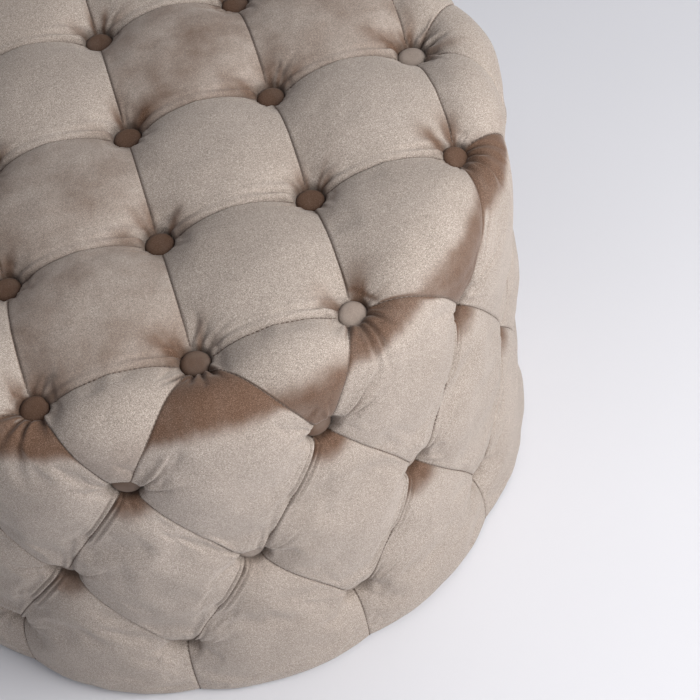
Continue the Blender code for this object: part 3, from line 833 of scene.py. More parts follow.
@dataclass
class Layout:
    """Where the buttons are and which of them each pillow lies between."""

    body: Body
    grid_reach: int = 2
    columns: int = 12
    pitch: float = 0.119
    row_heights: tuple[float, float, float] = (0.308, 0.188, 0.075)
    seat: dict[tuple[int, int], Place] = field(default_factory=dict)
    sides: list[list[Place]] = field(default_factory=list)
    pillows: list[list[Place]] = field(default_factory=list)

    def __post_init__(self) -> None:
        """Lays out the buttons and the pillows."""
        reach = self.grid_reach
        for column in range(-reach, reach + 1):
            for row in range(-reach, reach + 1):
                if abs(column) < reach or abs(row) < reach:
                    place = Place(self.pitch * math.hypot(column, row), math.atan2(row, column), Row.SEAT)
                    self.seat[column, row] = place
        for kind, height in zip((Row.UPPER, Row.MIDDLE, Row.LOWER), self.row_heights):
            offset = 0.0 if kind is Row.MIDDLE else self.step / 2
            spread = [offset + self.step * k for k in range(self.columns)]
            self.sides.append([Place(self.body.reach_of(height), angle, kind) for angle in spread])
        self._add_seat_pillows()
        self._add_side_pillows()

    @property
    def step(self) -> float:
        """The angle from one column of the side to the next."""
        return 2 * math.pi / self.columns

    def _add_seat_pillows(self) -> None:
        """Adds the pillows of the seat's grid, whose missing corners are buttons of the side's upper row."""
        reach, upper = self.grid_reach, self.sides[0]
        for column in range(-reach, reach):
            for row in range(-reach, reach):
                corners = []
                for key in ((column, row), (column + 1, row), (column + 1, row + 1), (column, row + 1)):
                    quarter = math.atan2(key[1], key[0]) % (2 * math.pi)
                    corners.append(self.seat.get(key) or upper[int(quarter / self.step)])
                self.pillows.append(corners)

    def _add_side_pillows(self) -> None:
        """Adds the pillows from the rim down to the hem."""
        upper, middle, lower = self.sides
        outer = [place for place in self.seat.values() if self.is_outer(place)]
        rim = sorted(outer, key=lambda place: place.angle % (2 * math.pi))
        for k, place in enumerate(rim):
            if k % 3 != 1:
                self.pillows.append([rim[(k + 1) % self.columns], place, upper[k]])
            self.pillows.append([place, upper[k - 1], middle[k], upper[k]])
            self.pillows.append([upper[k], middle[k], lower[k], middle[(k + 1) % self.columns]])
            ends = (middle[k].angle - self.step / 2, middle[k].angle + self.step / 2)
            hem = [Place(self.body.hem_reach, angle, Row.HEM) for angle in ends]
            self.pillows.append([middle[k], lower[k - 1], *hem, lower[k]])

    def is_outer(self, place: Place) -> bool:
        """Whether a button of the seat is one of the twelve nearest the rim."""
        return place.reach > self.pitch * (self.grid_reach - 0.1)

    def buttons(self) -> list[Place]:
        """Every button."""
        return list(self.seat.values()) + [place for row in self.sides for place in row]

    def on_side(self) -> Array:
        """For every button, whether it is on the side."""
        return np.array([place.row is not Row.SEAT for place in self.buttons()])

    def centres(self, sink: float = 0.0) -> Array:
        """Every button's point, from sink 0 on the crown to 1 on the tufts' floor."""
        return self.body.points(np.array([place.flat for place in self.buttons()]), sink)

    @staticmethod
    def sides_of(corners: list[Place]) -> list[Seam]:
        """The seams round a pillow."""
        return [Seam(first, second) for first, second in zip(corners, corners[1:] + corners[:1])]


@dataclass(frozen=True)
class Pleat:
    """A fold that runs into a button: its direction, length, width and depth."""

    way: float
    length: float
    width: float
    depth: float


@dataclass(frozen=True)
class PleatRule:
    """The larger folds at one kind of button: the degrees that each may point at, and their sizes."""

    turns: tuple[Pair, ...]
    length: Pair
    width: float
    depth: float


@dataclass(frozen=True)
class PillowSizes:
    """How the pillows swell and how their edges sink. A pair of sizes is for the seat and for the side."""

    swell: Pair = (0.0042, 0.0056)
    least_fullness: float = 0.8
    fullness_spread: float = 0.4
    slope_start: float = 0.013
    slope_growth: float = 0.68
    slope_reach: float = 0.056
    slope_power: float = 0.9
    valley_sink: float = 0.085
    valley_reach: Pair = (0.0265, 0.0190)
    valley_power: float = 1.35
    pit_reach: Pair = (0.0205, 0.0145)
    pit_power: float = 1.4
    floor_start: Pair = (0.0105, 0.0115)
    floor_end: Pair = (0.0150, 0.0180)
    floor_sink: float = 0.97
    extra_sink: float = 0.32
    hem_sink: float = 0.35
    hem_span: Pair = (-0.02, 0.08)
    hem_fill: float = 0.70
    hem_fill_reach: float = 0.05
    groove_depth: float = 0.0006
    groove_width: float = 0.0008
    dent: float = 0.0022
    dent_scales: Pair = (24.0, 58.0)
    dent_shares: Pair = (0.7, 0.3)
    sag: float = 0.60
    sag_below: float = 0.35
    sag_span: Pair = (0.0, 0.012)
    overhang: float = 0.0040
    overhang_above: Pair = (0.1, 0.85)
    overhang_span: Pair = (0.012, 0.0185)
    overhang_reach: float = 0.020


@dataclass(frozen=True)
class LipSizes:
    """The double fold beside every second seam: on the seat strongest by the button at its right."""

    height: float = 0.0066
    side_height: float = 0.42
    place: float = 0.0042
    width: float = 0.0017
    reach: float = 0.027
    far_end: float = 0.35
    side_place: float = 0.55
    side_width: float = 0.75
    side_least: float = 0.10
    side_reach: float = 0.52
    least: float = 0.03
    hollow: float = 0.80
    hollow_place: float = 1.9
    hollow_width: float = 0.8
    second: float = 0.40
    second_place: float = 2.8
    second_width: float = 1.3
    clearance: Pair = (0.009, 0.016)
    # edge and the tuck sizes set painted shade: how dark the fold's edge and the tuck line beside the seam
    # are.
    edge: float = 0.50
    edge_width: float = 0.0009
    tuck: float = 0.27
    tuck_gain: float = 0.60
    tuck_width: float = 0.0021


@dataclass(frozen=True)
class CreaseShadeSizes:
    """The painted shade in the seams and the rings round the buttons: how dark it is. A pair is for seat and
    side, or a span.
    """

    reach: float = 0.034
    width: float = 0.0007
    span: Pair = (0.010, 0.014)
    mid_seam: float = 0.26
    by_button: float = 0.64
    tuck_span: Pair = (0.012, 0.018)
    # The ring sizes set the painted shade in a ring round each button's pit.
    ring_radius: float = 0.0120
    ring_width: Pair = (0.0024, 0.0014)
    ring_strength: Pair = (0.70, 0.45)


@dataclass(frozen=True)
class PleatSizes:
    """The folds that run into the buttons. A pair is for the seat and the side, or the least and the most."""

    small_count: tuple[int, int] = (7, 3)
    small_length: Pair = (0.008, 0.017)
    small_width: Pair = (0.0013, 0.0019)
    small_depth: float = 0.0011
    upper: PleatRule = PleatRule(((-14, -2), (14, 26)), (0.021, 0.028), 0.0022, 0.0035)
    lower: PleatRule = PleatRule(((-4, 12), (28, 46)), (0.015, 0.022), 0.0019, 0.0020)
    outer: PleatRule = PleatRule(((-53, -39), (-25, -11), (2, 16), (29, 43)), (0.009, 0.016), 0.0018, 0.0036)
    bend: Pair = (5.0, -9.0)
    start: Pair = (0.0085, 0.0135)
    run_in: float = 0.005
    run_on: float = 0.004
    ridge: float = 0.65
    ridge_place: float = 2.1
    ridge_width: float = 1.25
    # crease and the sizes after it set the painted shade in a fold's hollow.
    crease: float = 0.80
    crease_power: float = 1.4
    crease_depth: float = 0.0028
    crease_depth_power: float = 1.5


@dataclass(frozen=True)
class ShadeSmudgeSizes:
    """Brown streaks by the seat's buttons, partly painted shade of their pits and partly flattened pile. A
    pair is the least and most, or a span.
    """

    count: int = 16
    spread: Pair = (0.16, 0.42)
    length: Pair = (0.012, 0.028)
    strength: Pair = (0.55, 1.0)
    anywhere: float = 0.20
    behind: Pair = (-0.1, 0.5)
    outwards: Pair = (0.3, 0.9)
    start: Pair = (0.006, 0.011)


@dataclass(frozen=True)
class NapShade:
    """Painted shade on a pillow from how its pile leans: it browns the pillow by slope.

    The way is 1 where its steep part is pale and its level part brown, -1 the other way round and 0 for
    neither. The edge is the slope between the two, soft is how gently they meet, strength is how brown the
    one is and rest how brown the other is.
    """

    way: float = 0.0
    edge: float = 0.0
    soft: float = 1.0
    strength: float = 0.0
    rest: float = 0.0


@dataclass(frozen=True)
class PileShading:
    """The painted shade of the leaning pile: round the pouf by column, and each kind of pillow's edge and
    softness.
    """

    # How brown the painted shade makes the rim and hem pillows, and where the shoulder pillows' shade starts,
    # by column round the pouf.
    rim_brown: tuple[float, ...] = (0.1, 0.8, 0.5, 0.8, 0.6, 0.9, 0.5, 0.75, 0.25, 0.74, 0.80, 0.2)
    shoulder_edge: tuple[float, ...] = (1.30, 0.3, 0.45, 0.3, 0.4, 0.32, 0.45, 0.35, 0.4, 0.38, 0.52, 0.36)
    hem_brown: tuple[float, ...] = (0.8, 0.5, 0.9, 0.6, 0.4, 0.8, 0.5, 0.7, 0.6, 0.35, 0.95, 0.8)
    # Seat pillows given extra painted shade, darker where less light falls on them.
    shaded_pillows: tuple[tuple[int, float], ...] = ((4, 0.36), (5, 0.33), (10, 0.42), (14, 0.33))
    rest: Pair = (0.0, 0.04)
    corner: Pair = (0.60, 0.21)
    rim: Pair = (0.54, 0.32)
    side: Pair = (0.12, 0.15)
    hem: Pair = (0.16, 0.15)
    shoulder_soft: float = 0.27
    shoulder_strength: Pair = (0.92, 1.0)
    side_strength: Pair = (0.9, 1.0)
    shoulder_fade: Pair = (0.075, 0.105)
    side_fade: Pair = (0.018, 0.046)


@dataclass(frozen=True)
class ClothSizes:
    """How long the velvet settles as cloth, how far it may move and where it is held."""

    frames: int = 20
    most_movement: float = 0.0030
    button_span: Pair = (0.010, 0.018)
    seam_hold: float = 0.93
    seam_near: float = 0.09
    seam_gap: float = 2e-4
    hem_span: Pair = (0.010, 0.001)


@dataclass
class Edges:
    """What the seams round a pillow do to each of its points.

    fill and full are how far the pillow has risen over its width and over its slope, hem is how clear it is
    of the hem, nearest is how far the nearest seam is, lips is its fold's height and tuck is the painted
    shade in its creases.
    """

    fill: Array
    full: Array
    hem: Array
    nearest: Array
    lips: Array
    tuck: Array


@dataclass
class Skin:
    """A grid of quads over the pillows' quarters, welded where they meet."""

    cells: int
    flats: Array
    points: Array
    marks: Array
    faces: Faces
    first: Array
    inverse: Array


@dataclass
class TuftedCover:
    """The velvet with its wadding: pillows, seams and pleats outside, a cavity and a flange inside."""

    body: Body
    layout: Layout
    cells: int = 30
    rough_cells: int = 10
    pillow: PillowSizes = PillowSizes()
    lip: LipSizes = LipSizes()
    crease: CreaseShadeSizes = CreaseShadeSizes()
    pleat: PleatSizes = PleatSizes()
    shade_smudge: ShadeSmudgeSizes = ShadeSmudgeSizes()
    pile: PileShading = PileShading()
    cloth: ClothSizes = ClothSizes()
    hem_centre: float = 0.55
    cavity_radius: float = 0.272
    cavity_top: float = 0.360
    flange_inside: float = 0.245
    flange_thickness: float = 0.003
    seams: dict[frozenset, list[int]] = field(default_factory=dict)
    normals: Array = field(default_factory=lambda: np.zeros((0, 3)))

    @staticmethod
    def _spread(cells: int) -> Array:
        """How far along a quarter of a pillow the grid's lines lie: closest by the seams and the buttons.

        Args:
            cells: How many cells it has along each side.

        Returns:
            The lines' places, from 0 to 1.
        """
        steps = np.linspace(0.0, 1.0, 2001)
        sizes = 0.25 + 0.40 * smooth_between(steps, 0.0, 0.1) + 1.45 * smooth_between(steps, 0.60, 0.82)
        along = np.concatenate([[0.0], np.cumsum((sizes[1:] + sizes[:-1]) / 2)])
        return np.interp(np.linspace(0.0, 1.0, cells + 1), steps, along / along[-1])

    def _patch(self, cells: int, before: Seam, after: Seam, centre: Array) -> Array:
        """The grid of one corner's quarter of a pillow on the unrolled plan.

        Args:
            cells: How many cells it has along each side.
            before: The seam that ends at the corner.
            after: The seam that starts at the corner.
            centre: The pillow's middle.

        Returns:
            The places, first along the seam that starts at the corner.
        """
        spread = self._spread(cells)
        a, b = spread[:, None, None], spread[None, :, None]
        along, back = after.at(spread / 2)[:, None, :], before.at(1 - spread / 2)[None, :, :]
        far, near = after.at(np.array(0.5)), before.at(np.array(0.5))
        corner = after.first.flat
        grid = (1 - b) * along + b * (near + (centre - near) * a)
        grid = grid + (1 - a) * back + a * (far + (centre - far) * b)
        return grid - ((1 - a) * (1 - b) * corner + a * (1 - b) * far + (1 - a) * b * near + a * b * centre)

    @staticmethod
    def _distance(points: Array, line: Array) -> tuple[Array, Array]:
        """How far points lie from a line of many points.

        Args:
            points: The points.
            line: The line's points.

        Returns:
            The distances, and the share along the line of the nearest place.
        """
        start, way = line[:-1], np.diff(line, axis=0)
        offset = points[:, None, :] - start[None]
        share = np.clip((offset * way).sum(-1) / (way * way).sum(-1), 0.0, 1.0)
        gap = np.linalg.norm(offset - share[..., None] * way[None], axis=-1)
        nearest = gap.argmin(axis=1)
        rows = np.arange(len(points))
        return gap[rows, nearest], (nearest + share[rows, nearest]) / len(way)

    def _drawn(self, base: Array) -> tuple[Array, Array]:
        """How near points are to a button, as the velvet feels it: side pillows sag over the buttons below.

        Args:
            base: Points on the crown.

        Returns:
            The felt distance to each button, and the plain one.
        """
        sizes, offset = self.pillow, base[:, None] - self.layout.centres()[None]
        radii = np.linalg.norm(offset, axis=-1)
        above = offset[..., 2] / np.maximum(radii, TINY)
        sag = np.where(above > 0, sizes.sag, sizes.sag * sizes.sag_below)
        felt = sag * above * smooth_between(radii, *sizes.sag_span)
        return radii * (1.0 + self.layout.on_side()[None] * felt), radii

    def _edges(self, flat: Array, base: Array, sides: list[Seam], felt: Array) -> Edges:
        """What the seams round a pillow do to its points.

        Args:
            flat: Places on the unrolled plan.
            base: The same places on the crown.
            sides: The seams round the pillow.
            felt: How near each is to a button, as the velvet feels it.

        Returns:
            What they do.
        """
        sizes = self.pillow
        width = np.clip(sizes.slope_start + sizes.slope_growth * felt, sizes.slope_start, sizes.slope_reach)
        edges = Edges(*np.ones((4, len(flat))), *np.zeros((2, len(flat))))
        for side in sides:
            gap, share = self._distance(base, side.line(self.body))
            if side.is_hem:
                edges.fill *= sizes.hem_fill + (1 - sizes.hem_fill) * rise(gap / sizes.hem_fill_reach)
                edges.hem = smooth_between(gap, *sizes.hem_span)
                continue
            edges.nearest = np.minimum(edges.nearest, gap)
            edges.fill *= np.sin(np.clip(gap / sizes.slope_reach, 0.0, 1.0) * math.pi / 2)
            edges.full *= np.sin(np.clip(gap / width, 0.0, 1.0) * math.pi / 2) ** sizes.slope_power
            if side.folds and self._lip_side(side, flat):
                lip, tuck = self._lip(side, gap, share)
                edges.lips, edges.tuck = edges.lips + lip, np.maximum(edges.tuck, tuck)
        return edges

    def _shape(self, flat: Array, sides: list[Seam], number: int) -> tuple[Array, Array]:
        """The shape of a pillow.

        Args:
            flat: Places on the unrolled plan.
            sides: The seams round the pillow.
            number: The pillow's number, which varies its fullness.

        Returns:
            The points of its surface, and for each its painted shade: in its creases, in streaks by the
            buttons, and from how its pile leans.
        """
        body, sizes, base = self.body, self.pillow, self.body.points(flat)
        on_side = np.sin(body.turn(flat)) ** 2
        drawn, radii = self._drawn(base)
        felt, plain = drawn.min(axis=1), radii.min(axis=1)
        edges = self._edges(flat, base, sides, felt)
        valley = np.exp(-((felt / between_rounds(sizes.valley_reach, on_side)) ** sizes.valley_power))
        valley = sizes.valley_sink + (1 - sizes.valley_sink) * valley
        open_pit = np.exp(-((felt / between_rounds(sizes.pit_reach, on_side)) ** sizes.pit_power))
        sink = valley + (open_pit - valley) * edges.full
        sink = sink * (sizes.hem_sink + (1 - sizes.hem_sink) * edges.hem)
        floor_span = [between_rounds(pair, on_side) for pair in (sizes.floor_start, sizes.floor_end)]
        floor = 1.0 - smooth_between(plain, *floor_span)
        sink = np.maximum(np.clip(sink, 0.0, 1.0), floor * sizes.floor_sink)
        sink = sink * (1.0 + sizes.extra_sink * on_side * floor)
        fullness = sizes.least_fullness + sizes.fullness_spread * random.Random(SEED + number).random()
        lift = between_rounds(sizes.swell, on_side) * edges.fill * fullness
        lift = lift - sizes.groove_depth * bell(edges.nearest, sizes.groove_width) * (1 - open_pit)
        lift = lift + self.lip.height * edges.lips * smooth_between(plain, *self.lip.clearance)
        # folded is the painted shade in the pleats' hollows.
        puckers, folded = self._puckers(base, radii)
        lift = lift + puckers + sizes.dent * edges.fill * self._dents(base)
        crease = np.maximum(self._creases(edges, plain, on_side), folded)
        marks = np.column_stack([crease, self._shade_smudges(base, radii), self._nap_shade_levels(base, sides, number)])
        return body.points(self._hung(flat, base, plain, radii), sink, lift), marks

    def _creases(self, edges: Edges, plain: Array, on_side: Array) -> Array:
        """The painted shade of the seams' lines, their folds' edges and the rings round the buttons: how dark
        each is.

        Args:
            edges: What the seams do to each point.
            plain: How far each point is from the nearest button.
            on_side: How far each point lies round on the side.

        Returns:
            How much painted shade each point gets.
        """
        sizes = self.crease
        line = bell(edges.nearest, sizes.width) * smooth_between(plain, *sizes.span)
        line = line * (sizes.mid_seam + sizes.by_button * bell(plain, sizes.reach))
        tuck = edges.tuck * smooth_between(plain, *sizes.tuck_span)
        # Painted shade in a ring round each button's pit.
        ring = bell(plain, between_rounds(sizes.ring_width, on_side), sizes.ring_radius)
        return np.maximum(np.maximum(line, tuck), between_rounds(sizes.ring_strength, on_side) * ring)

    def _nap_shade_levels(self, base: Array, sides: list[Seam], number: int) -> Array:
        """The painted shade of a pillow's leaning pile at each point.

        Args:
            base: Points on the crown.
            sides: The seams round the pillow.
            number: The pillow's number.

        Returns:
            For each point, the values of a NapShade.
        """
        # The pillow's rule for painted shade by slope.
        lean = self._nap_shade_of(sides, number)
        top = min((side.first for side in sides), key=lambda place: place.reach)
        away = np.linalg.norm(base - self.body.points(top.flat[None]), axis=1)
        fade = self.pile.shoulder_fade if top.row is Row.SEAT else self.pile.side_fade
        near = 1.0 - smooth_between(away, *fade) if lean.way > 0 else np.ones(len(base))
        levels = np.tile([lean.way, lean.edge, lean.soft, lean.strength, lean.rest], (len(base), 1))
        levels[:, 3] *= near
        return levels

    def _nap_shade_of(self, sides: list[Seam], number: int) -> NapShade:
        """The painted shade that the leaning pile of a pillow gets.

        Args:
            sides: The seams round the pillow.
            number: The pillow's number.

        Returns:
            Its painted shade.
        """
        pile, rng = self.pile, random.Random(SEED * 3 + number)
        rows, columns = [side.first.row for side in sides], self.layout.columns
        middle = np.mean([side.first.flat for side in sides], axis=0)
        turn = math.degrees(math.atan2(middle[1], middle[0])) % 360.0 / (360.0 / columns)
        rest = dict(pile.shaded_pillows).get(number, rng.uniform(*pile.rest))
        if Row.UPPER not in rows and Row.MIDDLE not in rows:
            return NapShade(rest=rest)
        if Row.MIDDLE not in rows:
            kind = pile.corner if len(sides) == 4 else pile.rim
            return NapShade(-1.0, *kind, pile.rim_brown[int(turn) % columns], rest)
        column = round(turn) % columns
        if Row.SEAT in rows:
            strength = rng.uniform(*pile.shoulder_strength)
            return NapShade(1.0, pile.shoulder_edge[column], pile.shoulder_soft, strength)
        if Row.UPPER in rows:
            return NapShade(1.0, *pile.side, rng.uniform(*pile.side_strength), rest)
        return NapShade(1.0, *pile.hem, pile.hem_brown[column], rest)

    def _dents(self, base: Array) -> Array:
        """Soft dents in the wadding, from about -1 to 1."""
        dents = np.zeros(len(base))
        for share, scale in zip(self.pillow.dent_shares, self.pillow.dent_scales):
            dents += share * np.array([noise.noise(Vector(place) * scale) for place in base])
        return dents

    def _shade_smudges(self, base: Array, radii: Array) -> Array:
        """Brown streaks by the seat's buttons, partly painted shade of their pits and partly flattened pile:
        behind each, and out over the rim.

        Args:
            base: Points on the crown.
            radii: Each point's distance from each button.

        Returns:
            How much each point is browned by these streaks, from 0 to 1.
        """
        sizes, buttons, centres = self.shade_smudge, self.layout.buttons(), self.layout.centres()
        nearest = radii.argmin(axis=1)
        level = np.zeros(len(base))
        for number in np.unique(nearest):
            place = buttons[number]
            if place.row is not Row.SEAT:
                continue
            here, rng = nearest == number, random.Random(SEED * 5 + int(number))
            offset = base[here] - centres[number]
            angle, radius = np.arctan2(offset[:, 1], offset[:, 0]), radii[here, number]
            for _ in range(sizes.count):
                way, spread = rng.uniform(-math.pi, math.pi), rng.uniform(*sizes.spread)
                behind = float(smooth_between(math.sin(way), *sizes.behind))
                likely = sizes.anywhere + (1 - sizes.anywhere) * behind
                if self.layout.is_outer(place):
                    outwards = math.cos(way - place.angle)
                    likely = max(likely, float(smooth_between(outwards, *sizes.outwards)))
                length, strength = rng.uniform(*sizes.length), rng.uniform(*sizes.strength) * likely
                along = smooth_between(radius, *sizes.start) * bell((radius - sizes.start[1]).clip(0), length)
                streak = strength * bell(angle_from(angle, way), spread) * along
                level[here] = np.maximum(level[here], streak)
        return level

    def _hung(self, flat: Array, base: Array, plain: Array, radii: Array) -> Array:
        """Lets the velvet above each side button hang down over it.

        Args:
            flat: Places on the unrolled plan.
            base: The same places on the crown.
            plain: How far each is from the nearest button.
            radii: How far each is from every button.

        Returns:
            The places they hang to on the unrolled plan.
        """
        sizes, nearest = self.pillow, radii.argmin(axis=1)
        above = (base[:, 2] - self.layout.centres()[nearest, 2]) / np.maximum(plain, TINY)
        window = smooth_between(plain, *sizes.overhang_span)
        window = window * bell(np.maximum(plain - sizes.overhang_span[1], 0.0), sizes.overhang_reach)
        amount = self.layout.on_side()[nearest] * smooth_between(above, *sizes.overhang_above) * window
        reach = np.maximum(np.hypot(flat[:, 0], flat[:, 1]), TINY)
        return flat * (1.0 + sizes.overhang * amount / reach)[:, None]

    def _lip(self, side: Seam, gap: Array, share: Array) -> tuple[Array, Array]:
        """The fold of velvet that lies beside a seam: near a button's left on the seat, all along outside.

        Args:
            side: The seam.
            gap: How far points lie from it.
            share: How far along it they lie.

        Returns:
            The height of the fold, as a share, and how much painted shade its edge gets.
        """
        sizes, on_seat = self.lip, side.on_seat
        if on_seat:
            length = float(np.linalg.norm(side.first.flat - side.second.flat))
            rightwards = side.second.flat[0] > side.first.flat[0]
            to_right = (1 - share if rightwards else share) * length
            strong = bell(to_right, sizes.reach) + sizes.far_end * bell(length - to_right, sizes.reach)
            height, place, width = 1.0, sizes.place, sizes.width
        else:
            down = share if side.first.reach < side.second.reach else 1 - share
            strong = sizes.side_least + (1 - sizes.side_least) * bell(down, sizes.side_reach)
            height = sizes.side_height
            place, width = sizes.place * sizes.side_place, sizes.width * sizes.side_width
        crest = bell(gap, width, place)
        hollow = bell(gap, width * sizes.hollow_width, place * sizes.hollow_place)
        second = bell(gap, width * sizes.second_width, place * sizes.second_place)
        # Painted shade along the fold's edge and in the tuck line by the seam.
        edge = sizes.edge * bell(gap, sizes.edge_width, place * sizes.hollow_place) * strong
        if on_seat:
            tuck = bell(gap, sizes.tuck_width) * (sizes.tuck + sizes.tuck_gain * strong)
            edge = np.maximum(edge, tuck)
        fold = height * (crest - sizes.hollow * hollow + sizes.second * second)
        return fold * (sizes.least + (1 - sizes.least) * strong), edge

    @staticmethod
    def _lip_side(side: Seam, flat: Array) -> bool:
        """Whether a pillow lies on the folded side of a seam: behind it on the seat, right of it outside."""
        middle, here = side.at(np.array(0.5)), flat.mean(axis=0)
        if side.on_seat:
            return bool(here[1] > middle[1])
        return bool(middle[0] * here[1] - middle[1] * here[0] > 0)

    def _pleats(self, number: int) -> list[Pleat]:
        """The folds that run into one button.

        Args:
            number: The button's number.

        Returns:
            Its folds.
        """
        sizes, place, rng = self.pleat, self.layout.buttons()[number], random.Random(SEED * 7 + number)
        on_seat = place.row is Row.SEAT
        pleats = []
        for _ in range(sizes.small_count[0 if on_seat else 1]):
            way, length = rng.uniform(-math.pi, math.pi), rng.uniform(*sizes.small_length)
            pleats.append(Pleat(way, length, rng.uniform(*sizes.small_width), sizes.small_depth))
        if on_seat and not self.layout.is_outer(place):
            return pleats
        rule = sizes.outer if on_seat else sizes.upper if place.row is Row.UPPER else sizes.lower
        start = place.angle if on_seat else 0.0
        ways = [start + math.radians(rng.uniform(*turn)) for turn in rule.turns]
        return pleats + [Pleat(way, rng.uniform(*rule.length), rule.width, rule.depth) for way in ways]

    def _puckers(self, base: Array, radii: Array) -> tuple[Array, Array]:
        """Draws the folds round the buttons.

        Args:
            base: Points on the crown.
            radii: Each point's distance from each button.

        Returns:
            How far each point is lifted, and how much painted shade its fold's hollow gets.
        """
        sizes, buttons, centres = self.pleat, self.layout.buttons(), self.layout.centres()
        nearest = radii.argmin(axis=1)
        lift, crease = np.zeros(len(base)), np.zeros(len(base))
        for number in np.unique(nearest):
            here, place = nearest == number, buttons[number]
            kind = 0 if place.row is Row.SEAT else 1
            across, beside = place.directions
            offset = base[here] - centres[number]
            east, north = offset @ across, offset @ beside
            for pleat in self._pleats(int(number)):
                along = east * math.cos(pleat.way) + north * math.sin(pleat.way)
                aside = north * math.cos(pleat.way) - east * math.sin(pleat.way)
                aside = aside + sizes.bend[kind] * along * np.abs(along)
                start = sizes.start[kind]
                window = smooth_between(along, start, start + sizes.run_in)
                window = window * bell(np.maximum(along - start - sizes.run_on, 0.0), pleat.length)
                hollow = bell(aside, pleat.width) * window
                ridge = bell(aside, sizes.ridge_width * pleat.width, sizes.ridge_place * pleat.width) * window
                lift[here] += pleat.depth * (sizes.ridge * ridge - hollow)
                # Painted shade in the fold's hollow, darker for deeper folds.
                dark = sizes.crease * min(pleat.depth / sizes.crease_depth, 1.0) ** sizes.crease_depth_power
                crease[here] = np.maximum(crease[here], dark * hollow**sizes.crease_power)
        return lift, crease

    def _centre(self, corners: list[Place]) -> Array:
        """A pillow's middle on the unrolled plan. A pillow at the hem has it below its middle corner."""
        if corners[2].row is Row.HEM:
            reach = corners[0].reach * (1 - self.hem_centre) + corners[2].reach * self.hem_centre
            return np.array([math.cos(corners[0].angle), math.sin(corners[0].angle)]) * reach
        return np.mean([place.flat for place in corners], axis=0)

    def _skin(self, cells: int) -> Skin:
        """Builds the outer skin.

        Args:
            cells: How many cells a quarter of a pillow has along each side.

        Returns:
            The skin.
        """
        points: list[Array] = []
        marks: list[Array] = []
        flats: list[Array] = []
        faces: Faces = []
        size = cells + 1
        for number, corners in enumerate(self.layout.pillows):
            sides, centre = self.layout.sides_of(corners), self._centre(corners)
            for k, side in enumerate(sides):
                grid = self._patch(cells, sides[k - 1], side, centre).reshape(-1, 2)
                shape, mark = self._shape(grid, sides, number)
                ids = len(points) * size * size + np.arange(size * size).reshape(size, size)
                points.append(shape)
                marks.append(mark)
                flats.append(grid)
                for i in range(cells):
                    for j in range(cells):
                        faces.append((ids[i, j], ids[i + 1, j], ids[i + 1, j + 1], ids[i, j + 1]))
        spread = np.concatenate(flats)
        _, first, inverse = np.unique(weld_keys(spread), axis=0, return_index=True, return_inverse=True)
        inverse = inverse.reshape(-1)
        welded = [tuple(dict.fromkeys(int(inverse[v]) for v in face)) for face in faces]
        kept = [face for face in welded if len(face) > 2]
        shape, mark = np.concatenate(points)[first], np.concatenate(marks)[first]
        return Skin(cells, spread[first], shape, mark, kept, first, inverse)

    def _simulate(self, skin: Skin, held: Array) -> Array:
        """Lets the velvet settle as cloth over its wadding, held at the buttons, seams and hem.

        Args:
            skin: The skin.
            held: How firmly each point is held, from 0 to 1.

        Returns:
            How far each point moved.
        """
        cloth_object = object_of(mesh_of("settling_velvet", skin.points, skin.faces, outwards=False))
        group = cloth_object.vertex_groups.new(name="held")
        levels = np.round(held, 2)
        for level in np.unique(levels):
            if level > 0:
                group.add(np.nonzero(levels == level)[0].tolist(), float(level), "REPLACE")
        cloth = cloth_object.modifiers.new("cloth", "CLOTH")
        for name, value in CLOTH.items():
            setattr(cloth.settings, name, value)
        cloth.settings.vertex_group_mass = group.name
        cloth.settings.effector_weights.gravity = 0.0
        cloth.collision_settings.use_collision = False
        scene, last = bpy.context.scene, self.cloth.frames
        cloth.point_cache.frame_start, cloth.point_cache.frame_end = 1, last
        for step in range(1, last + 1):
            scene.frame_set(step)
        graph = bpy.context.evaluated_depsgraph_get()
        settled = np.empty(len(skin.points) * 3)
        evaluated = cloth_object.evaluated_get(graph)
        evaluated.to_mesh().vertices.foreach_get("co", settled)
        evaluated.to_mesh_clear()
        bpy.data.objects.remove(cloth_object, do_unlink=True)
        scene.frame_set(1)
        return settled.reshape(-1, 3) - skin.points

    def _held(self, rough: Skin) -> Array:
        """How firmly the velvet is held: at the buttons, along the seams and at the hem.

        Args:
            rough: The rough skin.

        Returns:
            For each of its points, from 0 to 1.
        """
        sizes, base = self.cloth, self.body.points(rough.flats)
        held = 1.0 - smooth_between(self._drawn(base)[1].min(axis=1), *sizes.button_span)
        for corners in self.layout.pillows:
            for seam in self.layout.sides_of(corners):
                middle = (seam.first.flat + seam.second.flat) / 2
                near = np.linalg.norm(rough.flats - middle, axis=1) < sizes.seam_near
                gap, _ = self._distance(base[near], seam.line(self.body))
                held[near] = np.maximum(held[near], sizes.seam_hold * (gap < sizes.seam_gap))
        reach = np.hypot(rough.flats[:, 0], rough.flats[:, 1])
        start, end = (self.body.hem_reach - size for size in sizes.hem_span)
        return np.maximum(held, smooth_between(reach, start, end))

